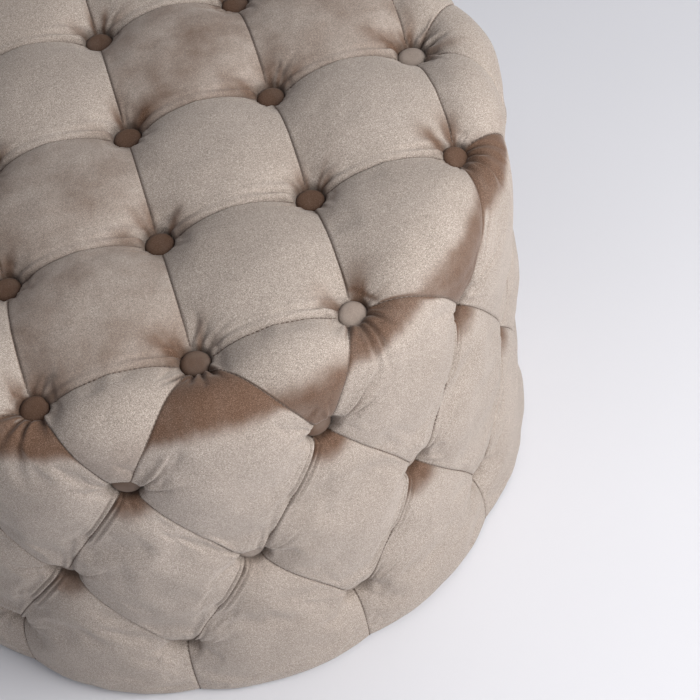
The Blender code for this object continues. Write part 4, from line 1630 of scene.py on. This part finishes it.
    def _settle(self, fine: Skin) -> Array:
        """Runs the cloth on a rougher skin, caps how far it moves and carries the movement to the fine skin.

        Args:
            fine: The fine skin.

        Returns:
            The fine skin's settled points.
        """
        rough = self._skin(self.rough_cells)
        move = self._simulate(rough, self._held(rough))
        length = np.linalg.norm(move, axis=1, keepdims=True)
        cap = self.cloth.most_movement
        move = move / np.maximum(length, 1e-9) * cap * np.tanh(length / cap)
        LOG.info("cloth moved the velvet by up to %.1f mm", float(length.max()) * 1000)
        size = rough.cells + 1
        patches = move[rough.inverse].reshape(-1, size, size, 3)
        share = np.linspace(0.0, rough.cells, fine.cells + 1)
        low = np.minimum(share.astype(int), rough.cells - 1)
        part = (share - low)[None, :, None, None]
        rows = patches[:, low] * (1 - part) + patches[:, low + 1] * part
        part = (share - low)[None, None, :, None]
        spread = rows[:, :, low] * (1 - part) + rows[:, :, low + 1] * part
        return fine.points + spread.reshape(-1, 3)[fine.first]

    def _find_seams(self, skin: Skin) -> None:
        """Finds which points lie on each seam, in order along it.

        Args:
            skin: The fine skin.
        """
        spread = self._spread(skin.cells)
        shares = np.concatenate([spread / 2, 1 - spread[::-1][1:] / 2])
        lookup = {tuple(key): k for k, key in enumerate(weld_keys(skin.flats).tolist())}
        for corners in self.layout.pillows:
            for seam in self.layout.sides_of(corners):
                if seam.is_hem or seam.key in self.seams:
                    continue
                found = [lookup.get(tuple(key)) for key in weld_keys(seam.at(shares)).tolist()]
                self.seams[seam.key] = [number for number in found if number is not None]

    def build(self, finish: Material) -> Object:
        """Builds the cover.

        Args:
            finish: The velvet.

        Returns:
            The cover.
        """
        skin = self._skin(self.cells)
        self._find_seams(skin)
        points = self._settle(skin)
        verts, faces = self._close(points, skin.flats, skin.faces)
        mesh = mesh_of("velvet_cover", verts, faces)
        cover = object_of(mesh, finish)
        self._mark(mesh, len(points), skin.marks)
        return cover

    def _inside(self) -> list[Pair]:
        """The section inside the hem: how far out and how high. What is negative counts from the hem."""
        low, inside = self.body.hem_height, self.flange_inside
        top = low + self.flange_thickness
        hem_round, hem_turn, hem_rise = 0.0012, 0.0045, 0.0001
        edge_round, edge_rise, corner_round, top_round = 0.001, 0.0008, 0.003, 0.004
        return [
            (-hem_round, low + hem_rise),
            (-hem_turn, low),
            (inside + edge_round, low),
            (inside, low + edge_rise),
            (inside, top - edge_rise),
            (inside + edge_round, top),
            (self.cavity_radius - corner_round, top),
            (self.cavity_radius, top + corner_round),
            (self.cavity_radius, self.cavity_top - top_round),
            (self.cavity_radius - top_round, self.cavity_top),
        ]

    def _close(self, points: Array, flats: Array, faces: Faces) -> tuple[Array, Faces]:
        """Turns the hem under and closes the inside.

        Args:
            points: The skin's points.
            flats: Their places on the unrolled plan.
            faces: Its faces.

        Returns:
            The closed shape's points and faces.
        """
        reach = np.hypot(flats[:, 0], flats[:, 1])
        hem = np.nonzero(reach > self.body.hem_reach - TINY)[0]
        angles = np.arctan2(flats[hem, 1], flats[hem, 0])
        hem, angles = hem[np.argsort(angles)], np.sort(angles)
        hem_radii, count, total = np.hypot(points[hem, 0], points[hem, 1]), len(hem), len(points)
        verts, rings = [points], [hem]
        for radius, height in self._inside():
            spread = hem_radii + radius if radius < 0 else np.full(count, radius)
            ring = [spread * np.cos(angles), spread * np.sin(angles), np.full(count, height)]
            verts.append(np.stack(ring, axis=1))
            rings.append(total + np.arange(count))
            total += count
        verts.append(np.array([[0.0, 0.0, self.cavity_top]]))
        for first, second in zip(rings, rings[1:]):
            for k in range(count):
                after = (k + 1) % count
                faces.append((int(first[k]), int(first[after]), int(second[after]), int(second[k])))
        for k in range(count):
            faces.append((int(rings[-1][k]), int(rings[-1][(k + 1) % count]), total))
        return np.concatenate(verts), faces

    def _mark(self, mesh: Mesh, outer: int, marks: Array) -> None:
        """Writes the painted shade: how brown the leaning pile makes each point, and how dark the creases
        are.

        Args:
            mesh: The cover's mesh.
            outer: How many of its points are on the outer skin.
            marks: The painted shade in each of those: in its creases, in streaks by the buttons, and from how
                its pile leans.
        """
        count = len(mesh.vertices)
        normals = np.empty(count * 3)
        mesh.vertices.foreach_get("normal", normals)
        normals = normals.reshape(-1, 3)
        self.normals = normals[:outer]
        padded = np.zeros((count, marks.shape[1]))
        padded[:outer] = marks
        padded[outer:, 4] = 1.0
        creased, shade_smudged, way, edge, soft, strength, rest = padded.T
        # Painted shade: brown by slope from each pillow's rule, then the streaks' and the pillow's own share.
        nap = strength * smooth_between((normals[:, 2] - edge) * way / soft, -1.0, 1.0) * np.abs(way)
        nap = 1.0 - (1.0 - nap) * (1.0 - shade_smudged) * (1.0 - rest)
        write_numbers(mesh, nap=nap, crease=creased)


@dataclass
class Stitching:
    """The machine stitches that show along every seam."""

    cover: TuftedCover
    pitch: float = 0.0036
    length: float = 0.0021
    thickness: float = 0.00052
    size_change: Pair = (0.82, 1.12)
    button_sink: float = 0.72
    button_clearance: float = 0.0135
    stand_off: float = 0.0002

    def _tree(self, finish: Material) -> tuple[GeometryNodeTree, dict[str, str]]:
        """Builds the tree that lays stitches along lines.

        Args:
            finish: The thread.

        Returns:
            The tree, and its inputs' identifiers by name.
        """
        tree = bpy.data.node_groups.new("seam_stitches", "GeometryNodeTree")
        face = tree.interface
        face.new_socket("Geometry", in_out="INPUT", socket_type="NodeSocketGeometry")
        kinds = {"Pitch": "Float", "Length": "Float", "Thickness": "Float", "Seed": "Int"}
        names = {}
        for name, kind in kinds.items():
            names[name] = face.new_socket(name, in_out="INPUT", socket_type=f"NodeSocket{kind}").identifier
        face.new_socket("Geometry", in_out="OUTPUT", socket_type="NodeSocketGeometry")
        given = add_node(tree, "NodeGroupInput").outputs
        lines = add_node(tree, "GeometryNodeMeshToCurve", {}, {"Mesh": given["Geometry"]}).outputs[0]
        spread = {"Curve": lines, "Length": given["Pitch"]}
        points = add_node(tree, "GeometryNodeCurveToPoints", {"mode": "LENGTH"}, spread).outputs
        sizes = {"Vertices": 6, "Radius": given["Thickness"], "Depth": given["Length"]}
        stitch = add_node(tree, "GeometryNodeMeshCylinder", {}, sizes).outputs["Mesh"]
        change = {2: self.size_change[0], 3: self.size_change[1], "Seed": given["Seed"]}
        vary = add_node(tree, "FunctionNodeRandomValue", {"data_type": "FLOAT"}, change).outputs[1]
        where = {name: points[name] for name in ("Points", "Rotation")}
        stitches = {**where, "Instance": stitch, "Scale": vary}
        placed = add_node(tree, "GeometryNodeInstanceOnPoints", {}, stitches).outputs[0]
        real = add_node(tree, "GeometryNodeRealizeInstances", {}, {"Geometry": placed}).outputs[0]
        dressed = {"Geometry": real, "Material": finish}
        result = add_node(tree, "GeometryNodeSetMaterial", {}, dressed).outputs[0]
        add_node(tree, "NodeGroupOutput", {}, {"Geometry": result})
        return tree, names

    def _lines(self, points: Array, normals: Array) -> Mesh:
        """The seams' lines, just above the velvet, clear of the buttons.

        Args:
            points: The outer skin's points.
            normals: Their outward directions.

        Returns:
            The lines as one mesh of edges.
        """
        centres = self.cover.layout.centres(self.button_sink)
        verts: list[Array] = []
        edges: list[tuple[int, int]] = []
        for ids in self.cover.seams.values():
            line = points[ids] + normals[ids] * self.stand_off
            radius = np.linalg.norm(line[:, None] - centres[None], axis=-1).min(axis=1)
            kept = line[radius > self.button_clearance]
            for k in range(len(kept) - 1):
                edges.append((len(verts) + k, len(verts) + k + 1))
            verts.extend(kept)
        mesh = bpy.data.meshes.new("seam_lines")
        mesh.from_pydata([tuple(v) for v in verts], edges, [])
        return mesh

    def build(self, cover: Object, finish: Material) -> Object:
        """Builds the stitches.

        Args:
            cover: The finished cover.
            finish: The thread.

        Returns:
            The stitches as one mesh.
        """
        count = len(self.cover.normals)
        points = np.array([v.co for v in cover.data.vertices[:count]])
        carrier = object_of(self._lines(points, self.cover.normals))
        tree, names = self._tree(finish)
        modifier = carrier.modifiers.new("stitches", "NODES")
        modifier.node_group = tree
        values = {"Pitch": self.pitch, "Length": self.length, "Thickness": self.thickness, "Seed": SEED}
        for name, value in values.items():
            modifier[names[name]] = value
        graph = bpy.context.evaluated_depsgraph_get()
        mesh = bpy.data.meshes.new_from_object(carrier.evaluated_get(graph))
        bpy.data.objects.remove(carrier, do_unlink=True)
        mesh.name = "seam_stitches"
        mesh.shade_smooth()
        stitches = object_of(mesh)
        if not mesh.materials:
            mesh.materials.append(finish)
        return stitches


@dataclass
class Joined:
    """Velvet caps and runs of twine that are joined in one mesh as they are added."""

    verts: list[Array] = field(default_factory=list)
    faces: Faces = field(default_factory=list)
    slots: list[int] = field(default_factory=list)
    nap: list[Array] = field(default_factory=list)
    crease: list[Array] = field(default_factory=list)

    def add(self, shape: tuple[Array, Faces], slot: int, nap: float, crease: Array) -> None:
        """Adds a shape.

        Args:
            shape: Its points and faces.
            slot: Its material's number.
            nap: How brown the painted shade makes its velvet.
            crease: How much painted shade each of its points gets in the creases.
        """
        verts, faces = shape
        total = sum(map(len, self.verts))
        self.verts.append(verts)
        self.faces += [tuple(v + total for v in face) for face in faces]
        self.slots += [slot] * len(faces)
        self.nap.append(np.full(len(verts), nap))
        self.crease.append(crease)

    def mesh(self, name: str) -> Mesh:
        """Makes one mesh of the shapes.

        Args:
            name: Its name.

        Returns:
            The mesh.
        """
        mesh = mesh_of(name, np.concatenate(self.verts), self.faces)
        mesh.polygons.foreach_set("material_index", self.slots)
        write_numbers(mesh, nap=np.concatenate(self.nap), crease=np.concatenate(self.crease))
        return mesh


@dataclass
class CoveredButtons:
    """Velvet-covered buttons on their twines: singly on the seat, three to a string on the side."""

    body: Body
    layout: Layout
    velvet: Material
    twine: Material
    radius: float = 0.0119
    seat: float = 0.0026
    crown: float = 0.0062
    back: float = 0.0030
    back_radii: Pair = (0.0030, 0.0088)
    edge_height: float = 0.0004
    edge_width: float = 0.0016
    fold_count: int = 10
    fold_spread: Pair = (0.10, 0.2)
    fold_height: Pair = (0.3, 1.0)
    fold_depth: float = 0.00028
    warp: float = 0.00022
    # Painted shade: a dark outline round the button's edge, where it meets the velvet.
    rim_crease: float = 0.85
    rim_crease_start: float = 0.88
    side_depth: float = 0.0046
    twine_radius: float = 0.0014
    knot: float = 0.0040
    knot_roughness: float = 0.0005
    board_bottom: float = 0.315
    board_clearance: float = 0.0003
    run_radius: float = 0.2556
    edge_tilt: float = math.radians(4)
    corner_tilt: float = math.radians(25)
    # Painted shade on the buttons, deep in their pits: how brown each is, for three listed seat buttons, the
    # others at random, and per row on the side, browner under the rim.
    brushing_and_shade: tuple[tuple[tuple[int, int], float], ...] = (((1, -2), 0.38), ((0, -2), 0.80), ((2, 0), 0.34))
    seat_brown: Pair = (0.90, 1.0)
    side_brown: tuple[float, float, float] = (0.74, 0.20, 0.10)
    segments: int = 40
    twine_segments: int = 10

    def _outline(self) -> Array:
        """The half section of a button, from its back to its crown."""
        back, edge = self.seat - self.back, self.seat + self.edge_height
        outline = [(0.0, back), (self.back_radii[0], back), (self.back_radii[1], back + 0.0008)]
        outline += [(self.radius * 0.93, self.seat - 0.0009), (self.radius, edge)]
        for step in np.linspace(0.12, 1.0, 9):
            turn = step * math.pi / 2
            radius = self.radius * math.cos(turn) ** 0.62 if step < 1 else 0.0
            outline.append((radius, edge + self.crown * math.sin(turn) ** 0.9))
        return np.array(outline)

    def _cap(self, seed: int) -> tuple[Array, Faces]:
        """Makes one button, its own Z axis outwards from the tuft's floor.

        Args:
            seed: What varies its folds.

        Returns:
            Its points and faces.
        """
        rng = random.Random(seed)
        verts, faces = turned(self._outline(), self.segments)
        radius = np.hypot(verts[:, 0], verts[:, 1])
        angle = np.arctan2(verts[:, 1], verts[:, 0])
        edge = bell(radius, self.edge_width, self.radius)
        push = np.zeros(len(verts))
        for _ in range(self.fold_count):
            way, spread = rng.uniform(0, 2 * math.pi), rng.uniform(*self.fold_spread)
            height = rng.uniform(*self.fold_height)
            push -= height * self.fold_depth * bell(angle_from(angle, way), spread) * edge
        scale = np.where(radius > 1e-9, (radius + push) / np.maximum(radius, 1e-9), 1.0)
        verts[:, :2] *= scale[:, None]
        verts[:, 2] += self.warp * np.sin(angle * 2 + rng.uniform(0, 6)) * (radius / self.radius) ** 2
        return verts, faces

    @staticmethod
    def _placed(verts: Array, place: Matrix) -> Array:
        """Points moved to a button's place."""
        turn, shift = np.array(place.to_3x3()), np.array(place.translation)
        return verts @ turn.T + shift

    def _run(self, start: Array, end: Array) -> tuple[Array, Faces]:
        """Makes a straight run of twine.

        Args:
            start: Where it starts.
            end: Where it ends.

        Returns:
            Its points and faces.
        """
        line = Vector(end - start)
        thick = self.twine_radius
        outline = np.array([(0.0, 0.0), (thick, 0.0), (thick, line.length), (0.0, line.length)])
        verts, faces = turned(outline, self.twine_segments)
        place = Matrix.Translation(start) @ line.to_track_quat("Z", "Y").to_matrix().to_4x4()
        return self._placed(verts, place), faces

    def _piece(
        self, name: str, caps: list[tuple[Matrix, float]], runs: list[tuple[Array, Array]], seed: int
    ) -> Object:
        """Joins caps and runs of twine in one piece.

        Args:
            name: The piece's name.
            caps: The places of its buttons, and how brown the painted shade makes each.
            runs: The ends of its runs of twine.
            seed: What varies its folds.

        Returns:
            The piece.
        """
        joined = Joined()
        for number, (place, brown) in enumerate(caps):
            cap, faces = self._cap(seed + number)
            share = np.hypot(cap[:, 0], cap[:, 1]) / self.radius
            # Painted shade round the cap's edge.
            crease = self.rim_crease * smooth_between(share, self.rim_crease_start, 1.0)
            joined.add((self._placed(cap, place), faces), 0, brown, crease)
        for start, end in runs:
            line, faces = self._run(start, end)
            joined.add((line, faces), 1, 0.0, np.zeros(len(line)))
        return object_of(joined.mesh(name), self.velvet, self.twine)

    def seat_buttons(self) -> list[Object]:
        """Builds the seat's buttons, each with its twine and knot."""
        made = []
        for number, (key, place) in enumerate(sorted(self.layout.seat.items()), start=1):
            tilt = 0.0
            if self.layout.is_outer(place):
                tilt = self.corner_tilt if key[0] and key[1] else self.edge_tilt
            floor = self.body.points(place.flat[None], 1.0)[0]
            lean = Matrix.Rotation(place.angle, 4, "Z") @ Matrix.Rotation(tilt, 4, "Y")
            spot = Matrix.Translation(floor) @ lean
            through = (floor[2] - self.board_bottom + self.board_clearance) / math.cos(tilt)
            depth = through + self.knot * (1 + math.tan(tilt))
            way = np.array(lean.to_3x3() @ Vector((0.0, 0.0, 1.0)))
            runs = [(floor - way * depth, floor + way * self.seat)]
            brown = dict(self.brushing_and_shade).get(key, random.Random(number * 33).uniform(*self.seat_brown))
            piece = self._piece(f"velvet_button_{number:02d}", [(spot, brown)], runs, number * 11)
            self._add_knot(piece, floor - way * depth)
            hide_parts(f"seat_button_{number:02d}")
            made.append(piece)
        return made

    def _add_knot(self, piece: Object, centre: Array) -> None:
        """Adds the knot that holds a seat twine under the board.

        Args:
            piece: The button.
            centre: The knot's centre.
        """
        shape = bmesh.new()
        shape.from_mesh(piece.data)
        before = len(shape.faces)
        bmesh.ops.create_icosphere(shape, subdivisions=3, radius=self.knot, matrix=Matrix.Translation(centre))
        shape.faces.ensure_lookup_table()
        for face in shape.faces[before:]:
            face.material_index = 1
            face.smooth = True
        for vert in {v for face in shape.faces[before:] for v in face.verts}:
            offset = vert.co - Vector(centre)
            vert.co += offset.normalized() * self.knot_roughness * noise.noise(vert.co * 500.0)
        shape.to_mesh(piece.data)
        shape.free()

    def side_strings(self) -> list[Object]:
        """Builds the side's buttons in strings of three."""
        made = []
        floor = self.body.radius - self.body.side_tuft_depth - self.side_depth
        for k in range(self.layout.columns):
            turns = [self.layout.step * (k + 0.5), self.layout.step * (k + 1.0), self.layout.step * (k + 0.5)]
            caps, runs, ends = [], [], []
            for angle, height, brown in zip(turns, self.layout.row_heights, self.side_brown):
                out = np.array([math.cos(angle), math.sin(angle), 0.0])
                up = np.array([0.0, 0.0, height])
                spot = Matrix.Rotation(angle, 4, "Z") @ Matrix.Rotation(math.pi / 2, 4, "Y")
                caps.append((Matrix.Translation(out * floor + up) @ spot, brown))
                ends.append(out * self.run_radius + up)
                runs.append((ends[-1], out * (floor + self.seat) + up))
            runs += list(zip(ends, ends[1:]))
            piece = self._piece(f"velvet_button_string_{k + 1:02d}", caps, runs, 900 + k * 13)
            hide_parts(f"side_button_string_{k + 1:02d}")
            made.append(piece)
        return made


@dataclass
class DustCloth:
    """The cloth that closes the bottom, with its edge folded in."""

    radius: float = 0.2619
    low: float = 0.0028
    high: float = 0.0036
    fold: float = 0.012
    recess: float = 0.0003
    edge_round: float = 0.0006
    wave: float = 0.0003
    wave_scale: float = 22.0
    segments: int = 144

    def build(self, finish: Material) -> Object:
        """Builds the cloth.

        Args:
            finish: Its material.

        Returns:
            The cloth.
        """
        inner, round_start = self.radius - self.fold, self.radius - self.edge_round
        raised = self.low + self.recess
        outline = [(0.0, raised)]
        outline += [(r, raised) for r in np.linspace(0.02, inner - 0.002, 14)]
        outline += [(inner, self.low + 0.0001), (round_start, self.low), (self.radius, raised)]
        outline += [(self.radius, self.high - 0.0002), (round_start, self.high)]
        outline += [(r, self.high) for r in np.linspace(inner, 0.02, 14)]
        outline.append((0.0, self.high))
        verts, faces = turned(np.array(outline), self.segments)
        for k, place in enumerate(verts):
            if place[2] < self.low + 0.0005 and math.hypot(place[0], place[1]) < inner:
                verts[k, 2] += self.wave * noise.noise(Vector(place) * self.wave_scale)
        cloth = object_of(mesh_of("dust_cloth_sheet", verts, faces), finish)
        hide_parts("dust_cloth")
        return cloth


@dataclass(frozen=True)
class Lamp:
    """A square soft lamp: its place, what it points at, its side, its power in watts and its colour."""

    name: str
    place: Triple
    target: Triple
    size: float
    power: float
    colour: Colour

    def hang(self) -> None:
        """Hangs the lamp."""
        light = bpy.data.lights.new(self.name, "AREA")
        light.shape = "SQUARE"
        light.size = self.size
        light.energy = self.power
        light.color = self.colour
        made = bpy.data.objects.new(self.name, light)
        bpy.context.scene.collection.objects.link(made)
        made.location = self.place
        made.rotation_euler = (Vector(self.target) - Vector(self.place)).to_track_quat("-Z", "Y").to_euler()


@dataclass
class Studio:
    """A pale floor, soft lamps and the camera."""

    camera_place: Triple = (0.0, -0.9805, 1.3205)
    yaw: float = -0.1473
    pitch: float = 0.9174
    roll: float = -0.1757
    focal_pixels: float = 1693.57
    frame_pixels: int = 700
    sensor_width: float = 36.0
    floor_half: float = 6.0
    floor_colour: Colour = (0.680, 0.683, 0.722)
    floor_change: float = 1.05
    backdrop_colour: Colour = (0.80, 0.80, 0.84)
    backdrop_span: Pair = (0.75, 1.9)
    room_colour: Colour = (0.93, 0.94, 1.0)
    room_strength: float = 0.28
    lamps: tuple[Lamp, ...] = (
        Lamp("window_lamp", (1.05, -0.95, 1.20), (0.10, -0.10, 0.30), 1.0, 25.0, (1.0, 0.985, 0.96)),
        Lamp("front_fill", (0.75, -2.2, 1.15), (0.0, 0.0, 0.15), 1.6, 17.8, (1.0, 0.99, 0.98)),
        Lamp("back_fill", (1.10, 0.45, 1.50), (0.70, 0.50, 0.0), 1.0, 5.5, (0.98, 0.99, 1.0)),
    )

    def _floor(self) -> None:
        """Lays the floor, which fades into the backdrop's colour."""
        half = self.floor_half
        corners = np.array([(-half, -half, 0), (half, -half, 0), (half, half, 0), (-half, half, 0)])
        mesh = mesh_of("studio_floor", corners, [(0, 1, 2, 3)])
        graph = Graph("studio_floor_paint")
        tone = graph.noise(1.3, 2.0)
        lighter = tuple(level * self.floor_change for level in self.floor_colour)
        colour = graph.mix(self.floor_colour, lighter, tone.between(0.3, 0.7))
        inputs = {"Base Color": colour, "Roughness": 0.85, "Specular IOR Level": 0.2}
        paint = graph.node("ShaderNodeBsdfPrincipled", {}, inputs)
        haze = graph.node("ShaderNodeEmission", {}, {"Color": (*self.backdrop_colour, 1.0), "Strength": 1.0})
        length = {"operation": "LENGTH"}
        distance = graph.node("ShaderNodeVectorMath", length, {0: graph.place()}, output="Value")
        seen = graph.node("ShaderNodeLightPath", output="Is Camera Ray")
        share = distance.between(*self.backdrop_span) * seen
        graph.node_output(graph.node("ShaderNodeMixShader", {}, {0: share, 1: paint, 2: haze}))
        object_of(mesh, graph.material)

    def _room(self) -> None:
        """Lights the room. The camera, reflections and glass see the backdrop's colour instead."""
        world = bpy.data.worlds.new("studio_room")
        bpy.context.scene.world = world
        world.use_nodes = True
        tree = world.node_tree
        tree.nodes.clear()
        lit = {"Color": (*self.room_colour, 1.0), "Strength": self.room_strength}
        room = add_node(tree, "ShaderNodeBackground", {}, lit).outputs[0]
        shown = {"Color": (*self.backdrop_colour, 1.0), "Strength": 1.0}
        backdrop = add_node(tree, "ShaderNodeBackground", {}, shown).outputs[0]
        rays = add_node(tree, "ShaderNodeLightPath").outputs
        either = rays["Is Camera Ray"]
        for ray in ("Is Glossy Ray", "Is Transmission Ray"):
            larger = add_node(tree, "ShaderNodeMath", {"operation": "MAXIMUM"}, {0: either, 1: rays[ray]})
            either = larger.outputs[0]
        seen = add_node(tree, "ShaderNodeMixShader", {}, {0: either, 1: room, 2: backdrop}).outputs[0]
        add_node(tree, "ShaderNodeOutputWorld", {}, {"Surface": seen})

    def _camera(self) -> None:
        """Sets up the camera."""
        level = Vector((math.cos(self.yaw), math.sin(self.yaw), 0.0))
        ahead = Vector((-math.sin(self.yaw), math.cos(self.yaw), 0.0))
        forwards = ahead * math.cos(self.pitch) - Vector((0.0, 0.0, math.sin(self.pitch)))
        above = level.cross(forwards)
        right = level * math.cos(self.roll) + above * math.sin(self.roll)
        up = above * math.cos(self.roll) - level * math.sin(self.roll)
        lens = bpy.data.cameras.new("photo_camera")
        lens.sensor_width = self.sensor_width
        lens.lens = self.focal_pixels / self.frame_pixels * self.sensor_width
        lens.clip_start = 0.05
        made = bpy.data.objects.new("photo_camera", lens)
        bpy.context.scene.collection.objects.link(made)
        turn = Matrix((right, up, -forwards)).transposed().to_4x4()
        made.matrix_world = Matrix.Translation(self.camera_place) @ turn
        bpy.context.scene.camera = made

    def build(self) -> None:
        """Builds the studio."""
        self._floor()
        self._room()
        for lamp in self.lamps:
            lamp.hang()
        self._camera()
        bpy.context.scene.view_settings.view_transform = "Standard"


@dataclass
class InnerFrame:
    """The foam, timber, screws and glides, which keep their CAD shapes and get their finishes."""

    nodes: dict[str, Object]

    def dress(self) -> None:
        """Gives each node the finish that goes with how its name starts."""
        finishes = (
            (("seat_foam", "side_foam"), FoamFinish().material()),
            (("seat_board", "base_ring"), PlyFinish().material()),
            (("drum_wall",), HardboardFinish().material()),
            (("post_",), TimberFinish().material()),
            (("board_screw_", "base_screw_"), ZincFinish().material()),
            (("glide_",), GlideFinish().material()),
        )
        for name, item in sorted(self.nodes.items()):
            for starts, finish in finishes:
                if name.startswith(starts):
                    item.data.materials.clear()
                    item.data.materials.append(finish)
                    LOG.info("dressed %s", name)


def rest_on_root(pieces: Iterable[Object]) -> None:
    """Makes pieces ride on the pouf.

    Args:
        pieces: The pieces.
    """
    for piece in pieces:
        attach(piece, "root")
        LOG.info("built %s", piece.name)


def main() -> None:
    """Builds the dressed pouf and its studio."""
    logging.basicConfig(level=logging.INFO, format="%(name)s: %(message)s")
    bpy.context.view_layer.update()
    body = Body()
    layout = Layout(body)
    velvet, shaded_button_velvet = VelvetFinish().material(), ShadedButtonVelvetFinish().material()
    twine = TwineFinish().material()
    tufted = TuftedCover(body, layout)
    cover = tufted.build(velvet)
    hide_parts("tufted_cover")
    rest_on_root([cover])
    stitches = Stitching(tufted).build(cover, ThreadFinish().material())
    rest_on_root([stitches])
    buttons = CoveredButtons(body, layout, shaded_button_velvet, twine)
    rest_on_root(buttons.seat_buttons())
    rest_on_root(buttons.side_strings())
    cloth = DustCloth()
    sheet = cloth.build(DustClothFinish().material())
    rest_on_root([sheet])
    side = cloth.radius * 2
    area = math.pi * cloth.radius**2
    InnerFrame(frame["nodes"]).dress()
    Studio().build()


if __name__ == "__main__":
    main()
